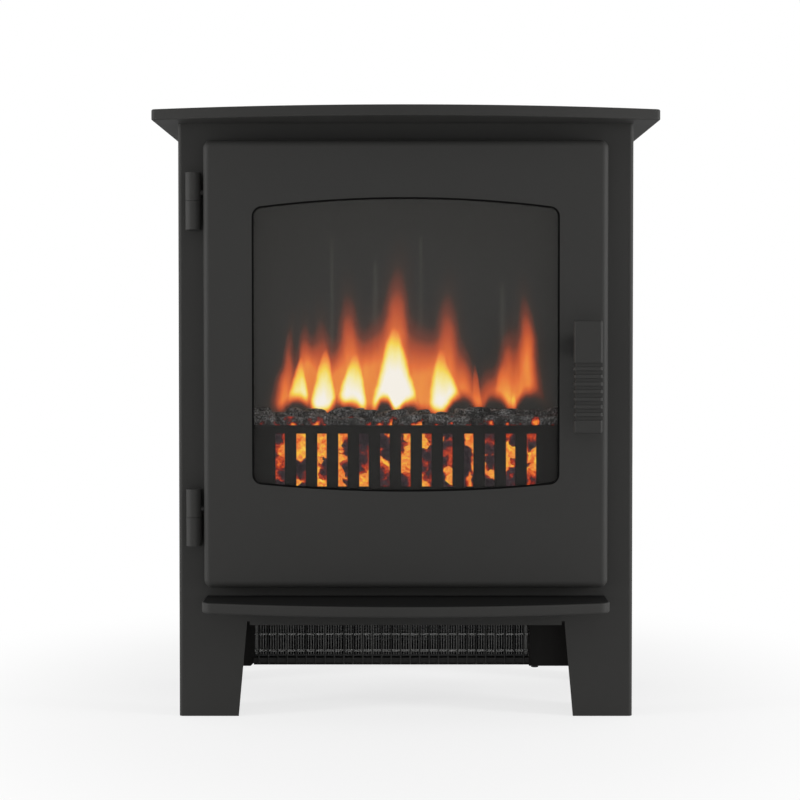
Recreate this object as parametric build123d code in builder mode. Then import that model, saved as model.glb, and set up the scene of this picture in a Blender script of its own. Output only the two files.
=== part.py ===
from build123d import *
import os
from math import cos, radians, sin, sqrt

# Free-standing electric stove: a folded steel casing on four legs, a hinged door with an
# arched window, a flame picture over an ember bed, and a fan heater under the base.
# Millimetres. X runs right, Y runs to the back, Z up. The origin is on the floor,
# under the middle of the stove's box.

# Overall sizes
width = 486.0
depth = 238.0
height = 587.0

# Casing
sheet = 1.5
side_overhang = 22.0
body_depth = 177.0
fold_radius = 4.0
return_depth = 40.0
seam_gap = 0.4
tongue_lap = 12.0
rear_inset = 2.0
rear_flange = 16.0
throat_margin = 6.5

# Legs
leg_height = 89.0
leg_width = 66.0
leg_taper = 8.0
front_leg_foot = 34.0
rear_leg_top = 46.0
rear_leg_foot = 36.0
rear_leg_width = 34.0
foot_inset = 6.0
relief_width = 3.0
relief_height = 3.7
front_flange = 14.0

# Top plate and hearth
plate_thickness = 10.5
plate_front_gap = 4.0
bow_radius = 900.0
plate_corner = 5.0
plate_edge_round = 1.6
hearth_bottom = 107.5
hearth_thickness = 10.5
hearth_corner = 12.0
hearth_edge_round = 2.0

# Back panel
vent_length = 70.0
vent_slot = 5.0
vent_pitch = 12.0
vent_rows = 6
vent_column_pitch = 150.0
vent_columns = 2
gland_edge = 69.5
gland_lift = 41.0
gland_radius = 8.0
gland_bore = 4.0
gland_flange = 12.0
gland_nut = 4.0

# Firebox
liner = 1.2
cheek_margin = 8.0
cheek_back_gap = 14.0
roof_rise = 11.7
floor_drop = 25.3
floor_setback = 10.0

# Grate
grate_setback = 8.0
grate_thickness = 2.5
grate_drop = 16.3
grate_rise = 62.1
grate_top_bar = 8.1
slot_count = 13
slot_pitch = 20.5
slot_width = 9.2
slot_lift = 2.1
grate_end_clearance = 1.0
grate_tab = 6.5

# Fuel bed and coals
bed_wall = 2.5
bed_gap = 1.5
bed_lean = 4.0
bed_drop = 1.4
bed_step = 6.0
bed_step_depth = 24.0
bed_depth = 62.0
bed_end_clearance = 4.0
coal_count = 15
coal_gap = 3.0
coal_depth = 17.0
coal_height = 13.0
coal_round = 3.5
coal_end_gap = 8.0
coal_swing = 0.18

# Flame picture
screen_setback = 83.0
screen_thickness = 3.0
screen_drop = 0.5
screen_clearance = 0.3
channel_reach = 3.5
channel_wall = 1.5
mask_gap = 17.0
mask_drop = 51.5
mask_flame_count = 7
mask_end_gap = 22.0
mask_flame_width = 22.0
mask_flame_height = 150.0
mask_flame_lift = 34.8

# Flicker spindle
spindle_setback = 128.0
spindle_lift = 57.8
spindle_radius = 2.5
vane_count = 12
vane_end_gap = 18.0
vane_width = 18.0
vane_span = 26.0
vane_thickness = 0.8
vane_turn = 75.0
running_clearance = 0.05
bush_radius = 5.0
bush_flange = 8.0
bush_flange_thickness = 2.0
motor_radius = 15.0
motor_length = 18.0
motor_bore_depth = 10.0
shaft_hole_radius = 4.0

# Lamp boards
board_end_gap = 22.0
board_width = 12.0
board_thickness = 1.6
lamp_size = 5.0
lamp_height = 1.8
lamp_count = 12
ember_board_setback = 26.0
flame_board_setback = 112.0

# Fan heater
heater_left_gap = 5.0
heater_right_gap = 34.0
heater_setback = 30.0
duct_height = 45.5
duct_wall = 1.2
rotor_setback = 70.0
rotor_radius = 19.0
rotor_clearance = 3.3
scroll_end_angle = -50.0
tongue_length = 22.0
tongue_lip = 6.0
blade_count = 16
blade_thickness = 1.0
blade_chord = 6.0
disc_count = 5
disc_thickness = 1.5
rotor_end_gap = 2.0
rotor_shaft_radius = 3.0
fan_bush_radius = 6.0
fan_bush_flange = 9.0
fan_motor_radius = 17.0
fan_motor_length = 30.0
fan_motor_flange = 20.0
fan_motor_flange_thickness = 3.0
element_setback = 4.0
element_depth = 12.0
element_lift = 6.4
element_drop = 4.5
element_rail = 2.0
fin_pitch = 2.5
fin_thickness = 0.8
cutout_radius = 7.0
cutout_height = 3.5
cutout_setback = 12.0
cutout_lift = 17.0
cover_gap = 0.4
cover_width = 49.6
cover_depth = 80.0
cover_drop = 2.5
heater_flange = 10.8
heater_flange_chamfer = 3.0

# Outlet guard
guard_wire = 0.7
guard_bite = 0.2
guard_pitch = 9.4
guard_tie_lifts = (13.1, 29.5)
guard_rail_lift = 1.0
guard_rail_height = 5.0
guard_rail_thickness = 1.6
guard_top_drop = 1.0
guard_tip = 1.4

# Controls
control_lift = 42.0
control_width = 130.0
control_tall = 42.0
control_plate_thickness = 1.5
control_corner = 4.0
switch_pitch = 34.0
switch_count = 3
switch_width = 13.0
switch_tall = 21.0
switch_depth = 15.0
bezel_border = 1.5
bezel_thickness = 1.2
panel_cut_border = 4.0
rocker_width = 10.6
rocker_radius = 9.0
rocker_gap = 0.25
rocker_crown = 3.0
rocker_valley = 1.2
rocker_tilt = 10.0
trunnion_radius = 1.0
trunnion_length = 12.4
terminal_length = 44.0
terminal_width = 20.0
terminal_height = 16.0
terminal_x = -100.0
terminal_setback = 120.0
terminal_ways = 4
terminal_hole = 2.0

# Door
door_side_gap = 26.5
door_bottom_gap = 10.0
door_top_gap = 17.5
door_gap = 1.5
door_thickness = 18.0
door_wall = 3.0
door_corner = 8.0
door_edge_round = 7.0
window_side_rail = 47.0
window_top_rail = 55.2
window_bottom_rail = 93.3
window_top_arch = 9.8
window_bottom_arch = 7.7
window_corner = 10.0
glass_lip = 1.2
glass_lap = 7.0
glass_gap = 1.0
glass_thickness = 4.0
gasket_thickness = 1.0
gasket_inset = 1.0
retainer_lap = 15.0
retainer_thickness = 1.5
retainer_post = 3.0
retainer_post_lap = 11.5
retainer_side_drop = 90.0

# Hinges
hinge_side_gap = 10.2
hinge_stand_off = 9.0
knuckle_radius = 7.4
knuckle_gap = 0.3
hinge_low_rise = 67.8
hinge_high_drop = 58.3
knuckle_below = 27.5
knuckle_above = 27.0
knuckle_cap = 3.0
pin_radius = 3.0
stud_radius = 2.5
stud_rise = 8.0
stud_depth = 8.0
stud_pad = 8.0
foot_width = 11.0

# Handle and latch
handle_edge_gap = 22.1
handle_rise = 18.5
handle_width = 26.6
handle_above = 23.8
handle_below = 83.5
handle_stand_off = 14.5
handle_thickness = 11.0
handle_round = 2.4
groove_count = 8
groove_pitch = 7.2
groove_width = 4.2
groove_depth = 1.6
groove_drop = 16.2
neck_radius = 9.5
neck_gap = 0.3
handle_spindle_radius = 4.0
spindle_grip_depth = 9.0
handle_boss_radius = 9.0
handle_boss_length = 8.0
arm_thickness = 3.0
arm_hub_radius = 7.5
arm_end_radius = 6.0
arm_reach = 18.0
nut_radius = 6.5
nut_thickness = 2.6
magnet_radius = 7.0
magnet_gap = 0.6

# Screws
thread_clearance = 0.1
screw_radius = 2.0
screw_head_radius = 3.6
screw_head_height = 2.0
casing_screw_bite = 6.0
hearth_screw_bite = 15.0
hinge_screw_pitch = 14.0
plate_screw_edge = 41.0
plate_screw_inset = 28.0
hearth_screw_pitch = 120.0
back_screw_count = 4
back_screw_low = 21.0
back_screw_high = 16.5
grate_screw_inset = 16.0
small_screw_radius = 1.4
small_head_radius = 2.6
small_head_height = 1.6
control_screw_inset = 6.0
cover_screw_inset = 6.0
heater_screw_inset = 30.5

# Places worked out from the sizes above
back_y = depth / 2
front_y = back_y - body_depth
panel_back_y = front_y + sheet
body_width = width - 2 * side_overhang
body_half = body_width / 2
inner_half = body_half - sheet
body_top = height - plate_thickness
leg_top_inner = body_half - leg_width
leg_floor_inner = leg_top_inner + leg_taper
pan_bottom = leg_height + sheet
pan_top = pan_bottom + sheet
back_panel_y = back_y - rear_inset
flange_y = back_panel_y - sheet
gland_x = inner_half - gland_edge
gland_height = leg_height + gland_lift
door_half = body_half - door_side_gap
door_bottom = hearth_bottom + hearth_thickness + door_bottom_gap
door_top = body_top - door_top_gap
door_middle = (door_top + door_bottom) / 2
door_back_y = front_y - door_gap
door_front_y = door_back_y - door_thickness
wall_back_y = door_front_y + door_wall
window_half = door_half - window_side_rail
window_top = door_top - window_top_rail
window_bottom = door_bottom + window_bottom_rail
window_top_side = window_top - window_top_arch
window_bottom_side = window_bottom + window_bottom_arch
throat_half = window_half + throat_margin
throat_top = window_top + throat_margin
throat_bottom = window_bottom - throat_margin
cheek_half = throat_half + cheek_margin
cheek_back_y = flange_y - sheet - cheek_back_gap
firebox_top = throat_top + roof_rise
firebox_floor_height = window_bottom - floor_drop
floor_top = firebox_floor_height + liner
floor_front_y = front_y + floor_setback
grate_top = window_bottom + grate_rise
grate_bottom = window_bottom - grate_drop
slot_bottom = window_bottom + slot_lift
bed_front_top = grate_top - bed_drop
screen_top = firebox_top - screen_drop
mask_top = screen_top - mask_drop
mask_flame_base = floor_top + mask_flame_lift
spindle_height = floor_top + spindle_lift
heater_left = -leg_top_inner + heater_left_gap
heater_right = leg_top_inner - heater_right_gap
duct_bottom = pan_bottom - duct_height
control_height = door_bottom + control_lift
hinge_x = -door_half - hinge_side_gap
hinge_y = front_y - hinge_stand_off
hinge_splits = (door_bottom + hinge_low_rise, door_top - hinge_high_drop)
handle_x = door_half - handle_edge_gap
handle_pivot = door_middle + handle_rise

front_face = Plane.XZ.offset(-front_y)
inward = (0, 1, 0)
outward = (0, -1, 0)


def slab(x, y, z, mode=Mode.ADD):
    """Add a block to the part being built, from its two ends along X, Y and Z."""
    middle = tuple((low + high) / 2 for low, high in (x, y, z))
    with Locations(middle):
        Box(x[1] - x[0], y[1] - y[0], z[1] - z[0], mode=mode)


def drill(planes, radius, length):
    """Cut a round hole through the part being built, as far each way from every plane."""
    with Locations(*planes):
        Cylinder(radius, 2 * length, mode=Mode.SUBTRACT)


def rod(x, y, z, radius, mode=Mode.ADD):
    """Add a round bar along X to the part being built, between two X places."""
    with Locations(((x[0] + x[1]) / 2, y, z)):
        Cylinder(radius, x[1] - x[0], rotation=(0, 90, 0), mode=mode)


def screw_group(planes, shank_length, shank, head, head_height):
    """Make pan-head screws: each head sits behind its plane, each shank runs along its normal."""
    with BuildPart() as group:
        with Locations(*planes):
            Cylinder(head, head_height, align=(Align.CENTER, Align.CENTER, Align.MAX))
            Cylinder(shank, shank_length, align=(Align.CENTER, Align.CENTER, Align.MIN))
    return group


def bowed_outline(half, front, back):
    """Draw a plate's outline with a bowed front edge on the sketch being built."""
    corner_y = front + bow_radius - sqrt(bow_radius**2 - half**2)
    with BuildLine() as outline:
        Polyline((-half, corner_y), (-half, back), (half, back), (half, corner_y))
        ThreePointArc((half, corner_y), (0, front), (-half, corner_y))
    return outline.line


def bowed_plate(half, front, back, bottom, thickness, corner, edge_round, screw_planes, bite):
    """Make a plate with a bowed front edge, round corners, eased edges and blind screw holes."""
    with BuildPart() as plate:
        with BuildSketch(Plane.XY.offset(bottom)):
            add(bowed_outline(half, front, back))
            make_face()
        extrude(amount=thickness)
        upright = plate.edges().filter_by(Axis.Z).sort_by(Axis.Y)
        fillet(upright[:2], corner)
        level = plate.edges().filter_by(lambda edge: abs(edge.tangent_at(0.5).Z) < 0.5)
        fillet(level.filter_by(lambda edge: edge.center().Y < back - edge_round), edge_round)
        drill(screw_planes, screw_radius + thread_clearance, sheet + bite + thread_clearance)
    return plate


# Places of the screws that hold the casing together
plate_screw_planes = [
    Plane((x, y, body_top - sheet), z_dir=(0, 0, 1))
    for x in (plate_screw_edge - body_half, body_half - plate_screw_edge)
    for y in (front_y + plate_screw_inset, back_y - plate_screw_inset)
]
hearth_middle = hearth_bottom + hearth_thickness / 2
hearth_screw_planes = [
    Plane((x, panel_back_y, hearth_middle), z_dir=outward)
    for x in (-hearth_screw_pitch, 0, hearth_screw_pitch)
]
back_screw_x = inner_half - rear_flange / 2
back_screw_span = body_top - back_screw_high - leg_height - back_screw_low
back_screw_pitch = back_screw_span / (back_screw_count - 1)
back_screw_levels = [leg_height + back_screw_low + i * back_screw_pitch for i in range(back_screw_count)]
back_screw_planes = [
    Plane((x, back_panel_y, z), z_dir=outward)
    for x in (-back_screw_x, back_screw_x)
    for z in back_screw_levels
]
hinge_screw_planes = [
    Plane((hinge_x, panel_back_y, split - knuckle_below / 2 + shift), z_dir=outward)
    for split in hinge_splits
    for shift in (-hinge_screw_pitch / 2, hinge_screw_pitch / 2)
]
grate_half = cheek_half - grate_end_clearance
grate_front_y = front_y + grate_setback
grate_back_y = grate_front_y + grate_thickness
grate_screw_x = grate_half - grate_tab / 2
grate_screw_planes = [
    Plane((x, grate_back_y, z), z_dir=outward)
    for x in (-grate_screw_x, grate_screw_x)
    for z in (grate_bottom + grate_screw_inset, grate_top - grate_screw_inset)
]
control_front_y = front_y - control_plate_thickness
control_screw_x = control_width / 2 - control_screw_inset
control_screw_planes = [
    Plane((x, control_front_y, control_height), z_dir=inward)
    for x in (-control_screw_x, control_screw_x)
]
switch_places = [(i - (switch_count - 1) / 2) * switch_pitch for i in range(switch_count)]

# Front panel: folded sides, front legs with feet, window throat and bottom flange
with BuildPart() as front_panel:
    with BuildSketch():
        with Locations((0, front_y + body_depth / 2)):
            RectangleRounded(body_width, body_depth, fold_radius)
            RectangleRounded(
                body_width - 2 * sheet, body_depth - 2 * sheet, fold_radius - sheet, mode=Mode.SUBTRACT
            )
        with Locations((0, front_y + return_depth + body_depth / 2)):
            Rectangle(body_width, body_depth, mode=Mode.SUBTRACT)
    extrude(amount=body_top)
    with BuildSketch(front_face):
        with BuildLine():
            Polyline(
                (-leg_floor_inner, 0),
                (-leg_top_inner, leg_height),
                (-leg_top_inner, leg_height + relief_height),
                (-leg_top_inner + relief_width, leg_height + relief_height),
                (-leg_top_inner + relief_width, leg_height),
                (leg_top_inner - relief_width, leg_height),
                (leg_top_inner - relief_width, leg_height + relief_height),
                (leg_top_inner, leg_height + relief_height),
                (leg_top_inner, leg_height),
                (leg_floor_inner, 0),
                close=True,
            )
        make_face()
    extrude(amount=2 * sheet, both=True, mode=Mode.SUBTRACT)
    with BuildSketch(Plane.YZ):
        with BuildLine():
            Polyline(
                (front_y + front_leg_foot, 0),
                (front_y + return_depth, leg_height),
                (front_y + return_depth, 0),
                close=True,
            )
        make_face()
    extrude(amount=body_width, both=True, mode=Mode.SUBTRACT)
    slab((-throat_half, throat_half), (front_y - sheet, panel_back_y + sheet), (throat_bottom, throat_top),
         mode=Mode.SUBTRACT)
    control_cut = switch_pitch * switch_count / 2
    control_cut_tall = switch_tall / 2 + panel_cut_border
    slab((-control_cut, control_cut), (front_y - sheet, panel_back_y + sheet),
         (control_height - control_cut_tall, control_height + control_cut_tall), mode=Mode.SUBTRACT)
    flange_half = leg_top_inner - relief_width
    slab((-flange_half, flange_half), (front_y, front_y + front_flange), (leg_height, pan_bottom))
    for side in (-1, 1):
        foot = sorted((side * (leg_floor_inner + foot_inset), side * inner_half))
        slab(foot, (panel_back_y, front_y + front_leg_foot), (0, sheet))
    drill(hearth_screw_planes + hinge_screw_planes, screw_radius + thread_clearance, 2 * sheet)
    drill(control_screw_planes, small_screw_radius + thread_clearance, 2 * sheet)
    drill(grate_screw_planes, small_screw_radius + thread_clearance, grate_setback + 2 * sheet)

# Side panels: a joggled lap behind the front panel's return, rear legs with feet, rear flange
side_front_y = front_y + return_depth + seam_gap
tongue_bottom = pan_top + seam_gap
tongue_top = body_top - sheet - seam_gap
with BuildPart() as left_side_panel:
    with BuildSketch(Plane.YZ.offset(-body_half)):
        with BuildLine():
            Polyline(
                (side_front_y, leg_height),
                (back_y - rear_leg_top, leg_height),
                (back_y - rear_leg_foot, 0),
                (back_y, 0),
                (back_y, body_top),
                (side_front_y, body_top),
                close=True,
            )
        make_face()
    extrude(amount=sheet)
    slab((-inner_half, -inner_half + sheet), (side_front_y - tongue_lap, side_front_y + tongue_lap),
         (tongue_bottom, tongue_top))
    slab((-inner_half, -inner_half + rear_flange), (flange_y - sheet, flange_y),
         (leg_height, body_top - sheet))
    slab((-inner_half, -inner_half + rear_leg_width), (back_y - sheet, back_y), (0, leg_height - seam_gap))
    slab((-inner_half, -inner_half + rear_leg_width), (back_y - rear_leg_foot, back_y), (0, sheet))
    drill(back_screw_planes, screw_radius + thread_clearance, 3 * sheet)

with BuildPart() as right_side_panel:
    mirror(left_side_panel.part, about=Plane.YZ)

# Roof sheet under the top plate, and the base pan that carries the works
with BuildPart() as body_roof:
    slab((-inner_half, inner_half), (panel_back_y, flange_y), (body_top - sheet, body_top))
    fillet(body_roof.edges().filter_by(Axis.Z).sort_by(Axis.Y)[:2], fold_radius - sheet)
    drill(plate_screw_planes, screw_radius + thread_clearance, 2 * sheet)

rotor_y = front_y + rotor_setback
rotor_z = pan_bottom - duct_wall - rotor_clearance - rotor_radius
heater_y = front_y + heater_setback
heater_middle = (heater_left + heater_right) / 2
heater_screw_planes = [
    Plane((x, (heater_y + rotor_y) / 2, pan_top), z_dir=(0, 0, -1))
    for x in (heater_left + heater_screw_inset, heater_right - heater_screw_inset)
]
cover_bottom = duct_bottom - cover_drop
motor_face_x = heater_right + duct_wall + fan_motor_flange_thickness
cover_left = heater_right + duct_wall + cover_gap
cover_right = cover_left + cover_width
cover_back_y = heater_y + cover_depth
cover_bolt_planes = [
    Plane((x, y, cover_bottom), z_dir=(0, 0, 1))
    for x, y in (
        (cover_left + cover_screw_inset, heater_y + cover_screw_inset),
        (cover_right - cover_screw_inset, cover_back_y - cover_screw_inset),
    )
]
with BuildPart() as base_pan:
    slab((-inner_half, inner_half), (panel_back_y, flange_y - sheet), (pan_bottom, pan_top))
    fillet(base_pan.edges().filter_by(Axis.Z).sort_by(Axis.Y)[:2], fold_radius - sheet)
    drill(heater_screw_planes, small_screw_radius + thread_clearance, 2 * sheet)
    drill(cover_bolt_planes, screw_radius + thread_clearance, height)

# Back panel with two columns of vent slots and the gland's hole
with BuildPart() as back_panel:
    slab((-inner_half, inner_half), (flange_y, back_panel_y), (leg_height, body_top))
    with BuildSketch(Plane.XZ.offset(-back_panel_y)):
        with Locations((0, (leg_height + body_top) / 2)):
            with GridLocations(vent_column_pitch, vent_pitch, vent_columns, vent_rows):
                SlotOverall(vent_length, vent_slot)
    extrude(amount=2 * sheet, both=True, mode=Mode.SUBTRACT)
    drill([Plane((gland_x, back_panel_y, gland_height), z_dir=outward)], gland_radius + thread_clearance,
          2 * sheet)
    drill(back_screw_planes, screw_radius + thread_clearance, 2 * sheet)

# Top plate and hearth, bowed alike
plate_front_y = -depth / 2 + plate_front_gap
top_plate = bowed_plate(
    width / 2, plate_front_y, back_y, body_top, plate_thickness, plate_corner, plate_edge_round,
    plate_screw_planes, casing_screw_bite
)
hearth_plate = bowed_plate(
    door_half, -depth / 2, front_y, hearth_bottom, hearth_thickness, hearth_corner, hearth_edge_round,
    hearth_screw_planes, hearth_screw_bite
)
casing_screws = screw_group(
    plate_screw_planes + hinge_screw_planes, sheet + casing_screw_bite, screw_radius, screw_head_radius,
    screw_head_height
)
hearth_screws = screw_group(
    hearth_screw_planes, sheet + hearth_screw_bite, screw_radius, screw_head_radius, screw_head_height
)
back_panel_screws = screw_group(
    back_screw_planes, 2 * sheet, screw_radius, screw_head_radius, rear_inset
)

# Firebox: cheeks, roof and floor of thin sheet
spindle_y = front_y + spindle_setback
spindle_plane = Plane((0, spindle_y, spindle_height), z_dir=(1, 0, 0))
cheek_outer = cheek_half + liner
with BuildPart() as left_cheek:
    slab((-cheek_outer, -cheek_half), (panel_back_y, cheek_back_y), (pan_top, firebox_top))
    drill([spindle_plane.offset(-cheek_half)], bush_radius + thread_clearance, 2 * liner)

with BuildPart() as right_cheek:
    slab((cheek_half, cheek_outer), (panel_back_y, cheek_back_y), (pan_top, firebox_top))
    drill([spindle_plane.offset(cheek_half)], shaft_hole_radius, 2 * liner)

with BuildPart() as firebox_roof:
    slab((-cheek_outer, cheek_outer), (panel_back_y, cheek_back_y), (firebox_top, firebox_top + liner))

with BuildPart() as firebox_floor:
    slab((-cheek_half, cheek_half), (floor_front_y, cheek_back_y), (firebox_floor_height, floor_top))

# Grate: a slotted plate with end tabs that stand off the front panel
with BuildPart() as grate:
    with BuildSketch(Plane.XZ.offset(-grate_front_y)):
        with Locations((0, (grate_bottom + grate_top) / 2)):
            Rectangle(2 * grate_half, grate_top - grate_bottom)
        slot_top = grate_top - grate_top_bar
        with Locations((0, (slot_bottom + slot_top) / 2)):
            with GridLocations(slot_pitch, 1, slot_count, 1):
                Rectangle(slot_width, slot_top - slot_bottom, mode=Mode.SUBTRACT)
    extrude(amount=-grate_thickness)
    for side in (-1, 1):
        tab = sorted((side * (grate_half - grate_tab), side * grate_half))
        slab(tab, (panel_back_y, grate_front_y), (grate_bottom, grate_top))
    drill(grate_screw_planes, small_screw_radius + thread_clearance, 2 * grate_setback)

grate_screws = screw_group(
    grate_screw_planes, grate_back_y - panel_back_y + sheet / 2, small_screw_radius, small_head_radius,
    small_head_height
)

# Fuel bed: a hollow moulding, stepped at the back, open below for the lamps
bed_front_y = grate_back_y + bed_gap
bed_half = cheek_half - bed_end_clearance
bed_step_y = bed_front_y + bed_step_depth
bed_back_top = bed_front_top + bed_step
coal_pitch = 2 * (bed_half - coal_end_gap) / coal_count
coal_width = coal_pitch - coal_gap
with BuildPart() as fuel_bed:
    with BuildSketch(Plane.YZ.offset(-bed_half)):
        with BuildLine():
            Polyline(
                (bed_front_y, floor_top),
                (bed_front_y + bed_lean, bed_front_top),
                (bed_step_y, bed_front_top),
                (bed_step_y, bed_back_top),
                (bed_front_y + bed_depth, bed_back_top),
                (bed_front_y + bed_depth, floor_top),
                close=True,
            )
        make_face()
    extrude(amount=2 * bed_half)
    offset(amount=-bed_wall, openings=fuel_bed.faces().sort_by(Axis.Z)[0])


def coal_lump(index):
    """Make one coal, smaller by a share that changes along the row, standing on its origin."""
    shrink = 1 - coal_swing * (1 + sin(index * index)) / 2
    with BuildPart() as lump:
        Box(
            coal_width * shrink, coal_depth * shrink, coal_height * shrink,
            align=(Align.CENTER, Align.CENTER, Align.MIN),
        )
        fillet(lump.edges().filter_by(Axis.Z), coal_round)
        fillet(lump.faces().sort_by(Axis.Z)[-1].edges(), coal_round)
    return lump.part


# Coals: a front row just over the grate, and a back row one step higher
front_coal_y = bed_step_y - coal_depth / 2 - coal_round / 2
back_coal_y = bed_step_y + coal_depth / 2 + coal_round
with BuildPart() as coals:
    for i in range(coal_count):
        front_x = (i - (coal_count - 1) / 2) * coal_pitch
        with Locations((front_x, front_coal_y, bed_front_top)):
            add(coal_lump(i))
    for i in range(coal_count - 1):
        back_x = (i - (coal_count - 2) / 2) * coal_pitch
        with Locations((back_x, back_coal_y, bed_back_top)):
            add(coal_lump(i + coal_count))

# Flame screen in its two channels, and the mask behind it with flame-shaped windows
screen_y = front_y + screen_setback
screen_back_y = screen_y + screen_thickness
with BuildPart() as flame_screen:
    slab((-cheek_half + screen_clearance, cheek_half - screen_clearance), (screen_y, screen_back_y),
         (floor_top, screen_top))

with BuildPart() as screen_channels:
    for side in (-1, 1):
        reach = sorted((side * (cheek_half - channel_reach), side * cheek_half))
        slab(reach, (screen_y - channel_wall - screen_clearance, screen_y - screen_clearance),
             (floor_top, screen_top))
        slab(reach, (screen_back_y + screen_clearance, screen_back_y + screen_clearance + channel_wall),
             (floor_top, screen_top))

mask_y = screen_back_y + mask_gap
with BuildPart() as flame_mask:
    slab((-cheek_half, cheek_half), (mask_y, mask_y + liner), (floor_top, mask_top))
    with BuildSketch(Plane.XZ.offset(-mask_y)):
        with Locations((0, mask_flame_base)):
            with GridLocations(2 * (cheek_half - mask_end_gap) / mask_flame_count, 1, mask_flame_count, 1):
                Circle(mask_flame_width / 2)
                Polygon(
                    (-mask_flame_width / 2, 0), (mask_flame_width / 2, 0), (0, mask_flame_height), align=None
                )
    extrude(amount=2 * liner, both=True, mode=Mode.SUBTRACT)

# Flicker spindle: a rod with bright vanes, turned by the motor on the right cheek
spindle_right = cheek_outer + motor_bore_depth
spindle_left = -cheek_outer - bush_flange_thickness
vane_pitch = 2 * (cheek_half - vane_end_gap) / vane_count
with BuildPart() as flicker_spindle:
    rod((spindle_left, spindle_right), spindle_y, spindle_height, spindle_radius)
    for i in range(vane_count):
        vane_x = (i - (vane_count - 1) / 2) * vane_pitch
        with Locations(Location((vane_x, spindle_y, spindle_height), (i * vane_turn, 0, 0))):
            Box(vane_width, vane_span, vane_thickness)

with BuildPart() as spindle_bush:
    rod((-cheek_outer, -cheek_half), spindle_y, spindle_height, bush_radius)
    rod((spindle_left, -cheek_outer), spindle_y, spindle_height, bush_flange)
    rod((spindle_left, -cheek_half), spindle_y, spindle_height, spindle_radius + running_clearance,
        mode=Mode.SUBTRACT)

with BuildPart() as flicker_motor:
    rod((cheek_outer, cheek_outer + motor_length), spindle_y, spindle_height, motor_radius)
    rod((cheek_outer, spindle_right + running_clearance), spindle_y, spindle_height,
        spindle_radius + running_clearance, mode=Mode.SUBTRACT)


def lamp_board(y):
    """Make a lamp strip on the firebox floor, with a row of small square lamps."""
    board_top = floor_top + board_thickness
    board_length = 2 * (cheek_half - board_end_gap)
    with BuildPart() as board:
        slab((-board_length / 2, board_length / 2), (y, y + board_width), (floor_top, board_top))
        with Locations((0, y + board_width / 2, board_top)):
            with GridLocations(board_length / lamp_count, 1, lamp_count, 1):
                Box(lamp_size, lamp_size, lamp_height, align=(Align.CENTER, Align.CENTER, Align.MIN))
    return board


ember_lamp_board = lamp_board(front_y + ember_board_setback)
flame_lamp_board = lamp_board(front_y + flame_board_setback)

# Fan heater under the base pan: scroll, tongue and end plates make the blower's case
scroll_inner = rotor_radius + rotor_clearance
scroll_outer = scroll_inner + duct_wall
heater_span = (heater_left, heater_right)
with BuildPart() as fan_scroll:
    with BuildSketch(Plane.YZ.offset(heater_left)):
        with BuildLine():
            sweep_angle = 90 - scroll_end_angle
            outer_arc = CenterArc((rotor_y, rotor_z), scroll_outer, scroll_end_angle, sweep_angle)
            inner_arc = CenterArc((rotor_y, rotor_z), scroll_inner, scroll_end_angle, sweep_angle)
            Line(outer_arc @ 0, inner_arc @ 0)
            Polyline(
                outer_arc @ 1, (heater_y, pan_bottom), (heater_y, pan_bottom - duct_wall), inner_arc @ 1
            )
        make_face()
    extrude(amount=heater_right - heater_left)
    drill(heater_screw_planes, small_screw_radius + thread_clearance, 2 * sheet + duct_wall)

tongue_back_y = heater_y + tongue_length
with BuildPart() as outlet_tongue:
    slab(heater_span, (heater_y, tongue_back_y), (duct_bottom - duct_wall, duct_bottom))
    slab(heater_span, (tongue_back_y - duct_wall, tongue_back_y), (duct_bottom, duct_bottom + tongue_lip))

rotor_plane = Plane((0, rotor_y, rotor_z), z_dir=(1, 0, 0))
plate_y = (heater_y, rotor_y + scroll_outer)
plate_z = (duct_bottom - duct_wall, pan_bottom)
left_plate_x = heater_left - duct_wall
right_plate_x = heater_right + duct_wall
flange_left = left_plate_x - heater_flange
with BuildPart() as heater_left_plate:
    slab((left_plate_x, heater_left), plate_y, plate_z)
    with BuildSketch(Plane.XZ.offset(-heater_y)):
        with BuildLine():
            Polyline(
                (left_plate_x, cover_bottom + heater_flange_chamfer),
                (left_plate_x, pan_bottom),
                (flange_left, pan_bottom),
                (flange_left, cover_bottom),
                (left_plate_x - heater_flange_chamfer, cover_bottom),
                close=True,
            )
        make_face()
    extrude(amount=-duct_wall)
    drill([rotor_plane.offset(heater_left)], fan_bush_radius + thread_clearance, 2 * duct_wall)

with BuildPart() as heater_right_plate:
    slab((heater_right, right_plate_x), plate_y, plate_z)
    drill([rotor_plane.offset(heater_right)], rotor_shaft_radius + rotor_end_gap, 2 * duct_wall)

# Cross-flow rotor: discs, blades set at a slant, and a shaft from the bush to the motor
fan_bush_left = left_plate_x - bush_flange_thickness
shaft_right = motor_face_x + fan_motor_length / 2
rotor_left = heater_left + rotor_end_gap
rotor_right = heater_right - rotor_end_gap
rotor_length = rotor_right - rotor_left
with BuildPart() as fan_rotor:
    rod((fan_bush_left, shaft_right), rotor_y, rotor_z, rotor_shaft_radius)
    for i in range(disc_count):
        disc_left = rotor_left + i * (rotor_length - disc_thickness) / (disc_count - 1)
        rod((disc_left, disc_left + disc_thickness), rotor_y, rotor_z, rotor_radius)
    for i in range(blade_count):
        turn = Location(((rotor_left + rotor_right) / 2, rotor_y, rotor_z), (i * 360 / blade_count, 0, 0))
        with Locations(turn):
            with Locations((0, rotor_radius - blade_chord / 2, 0)):
                Box(rotor_length, blade_chord, blade_thickness)

with BuildPart() as fan_bush:
    rod((left_plate_x, heater_left), rotor_y, rotor_z, fan_bush_radius)
    rod((fan_bush_left, left_plate_x), rotor_y, rotor_z, fan_bush_flange)
    rod((fan_bush_left, heater_left), rotor_y, rotor_z, rotor_shaft_radius + running_clearance,
        mode=Mode.SUBTRACT)

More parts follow.
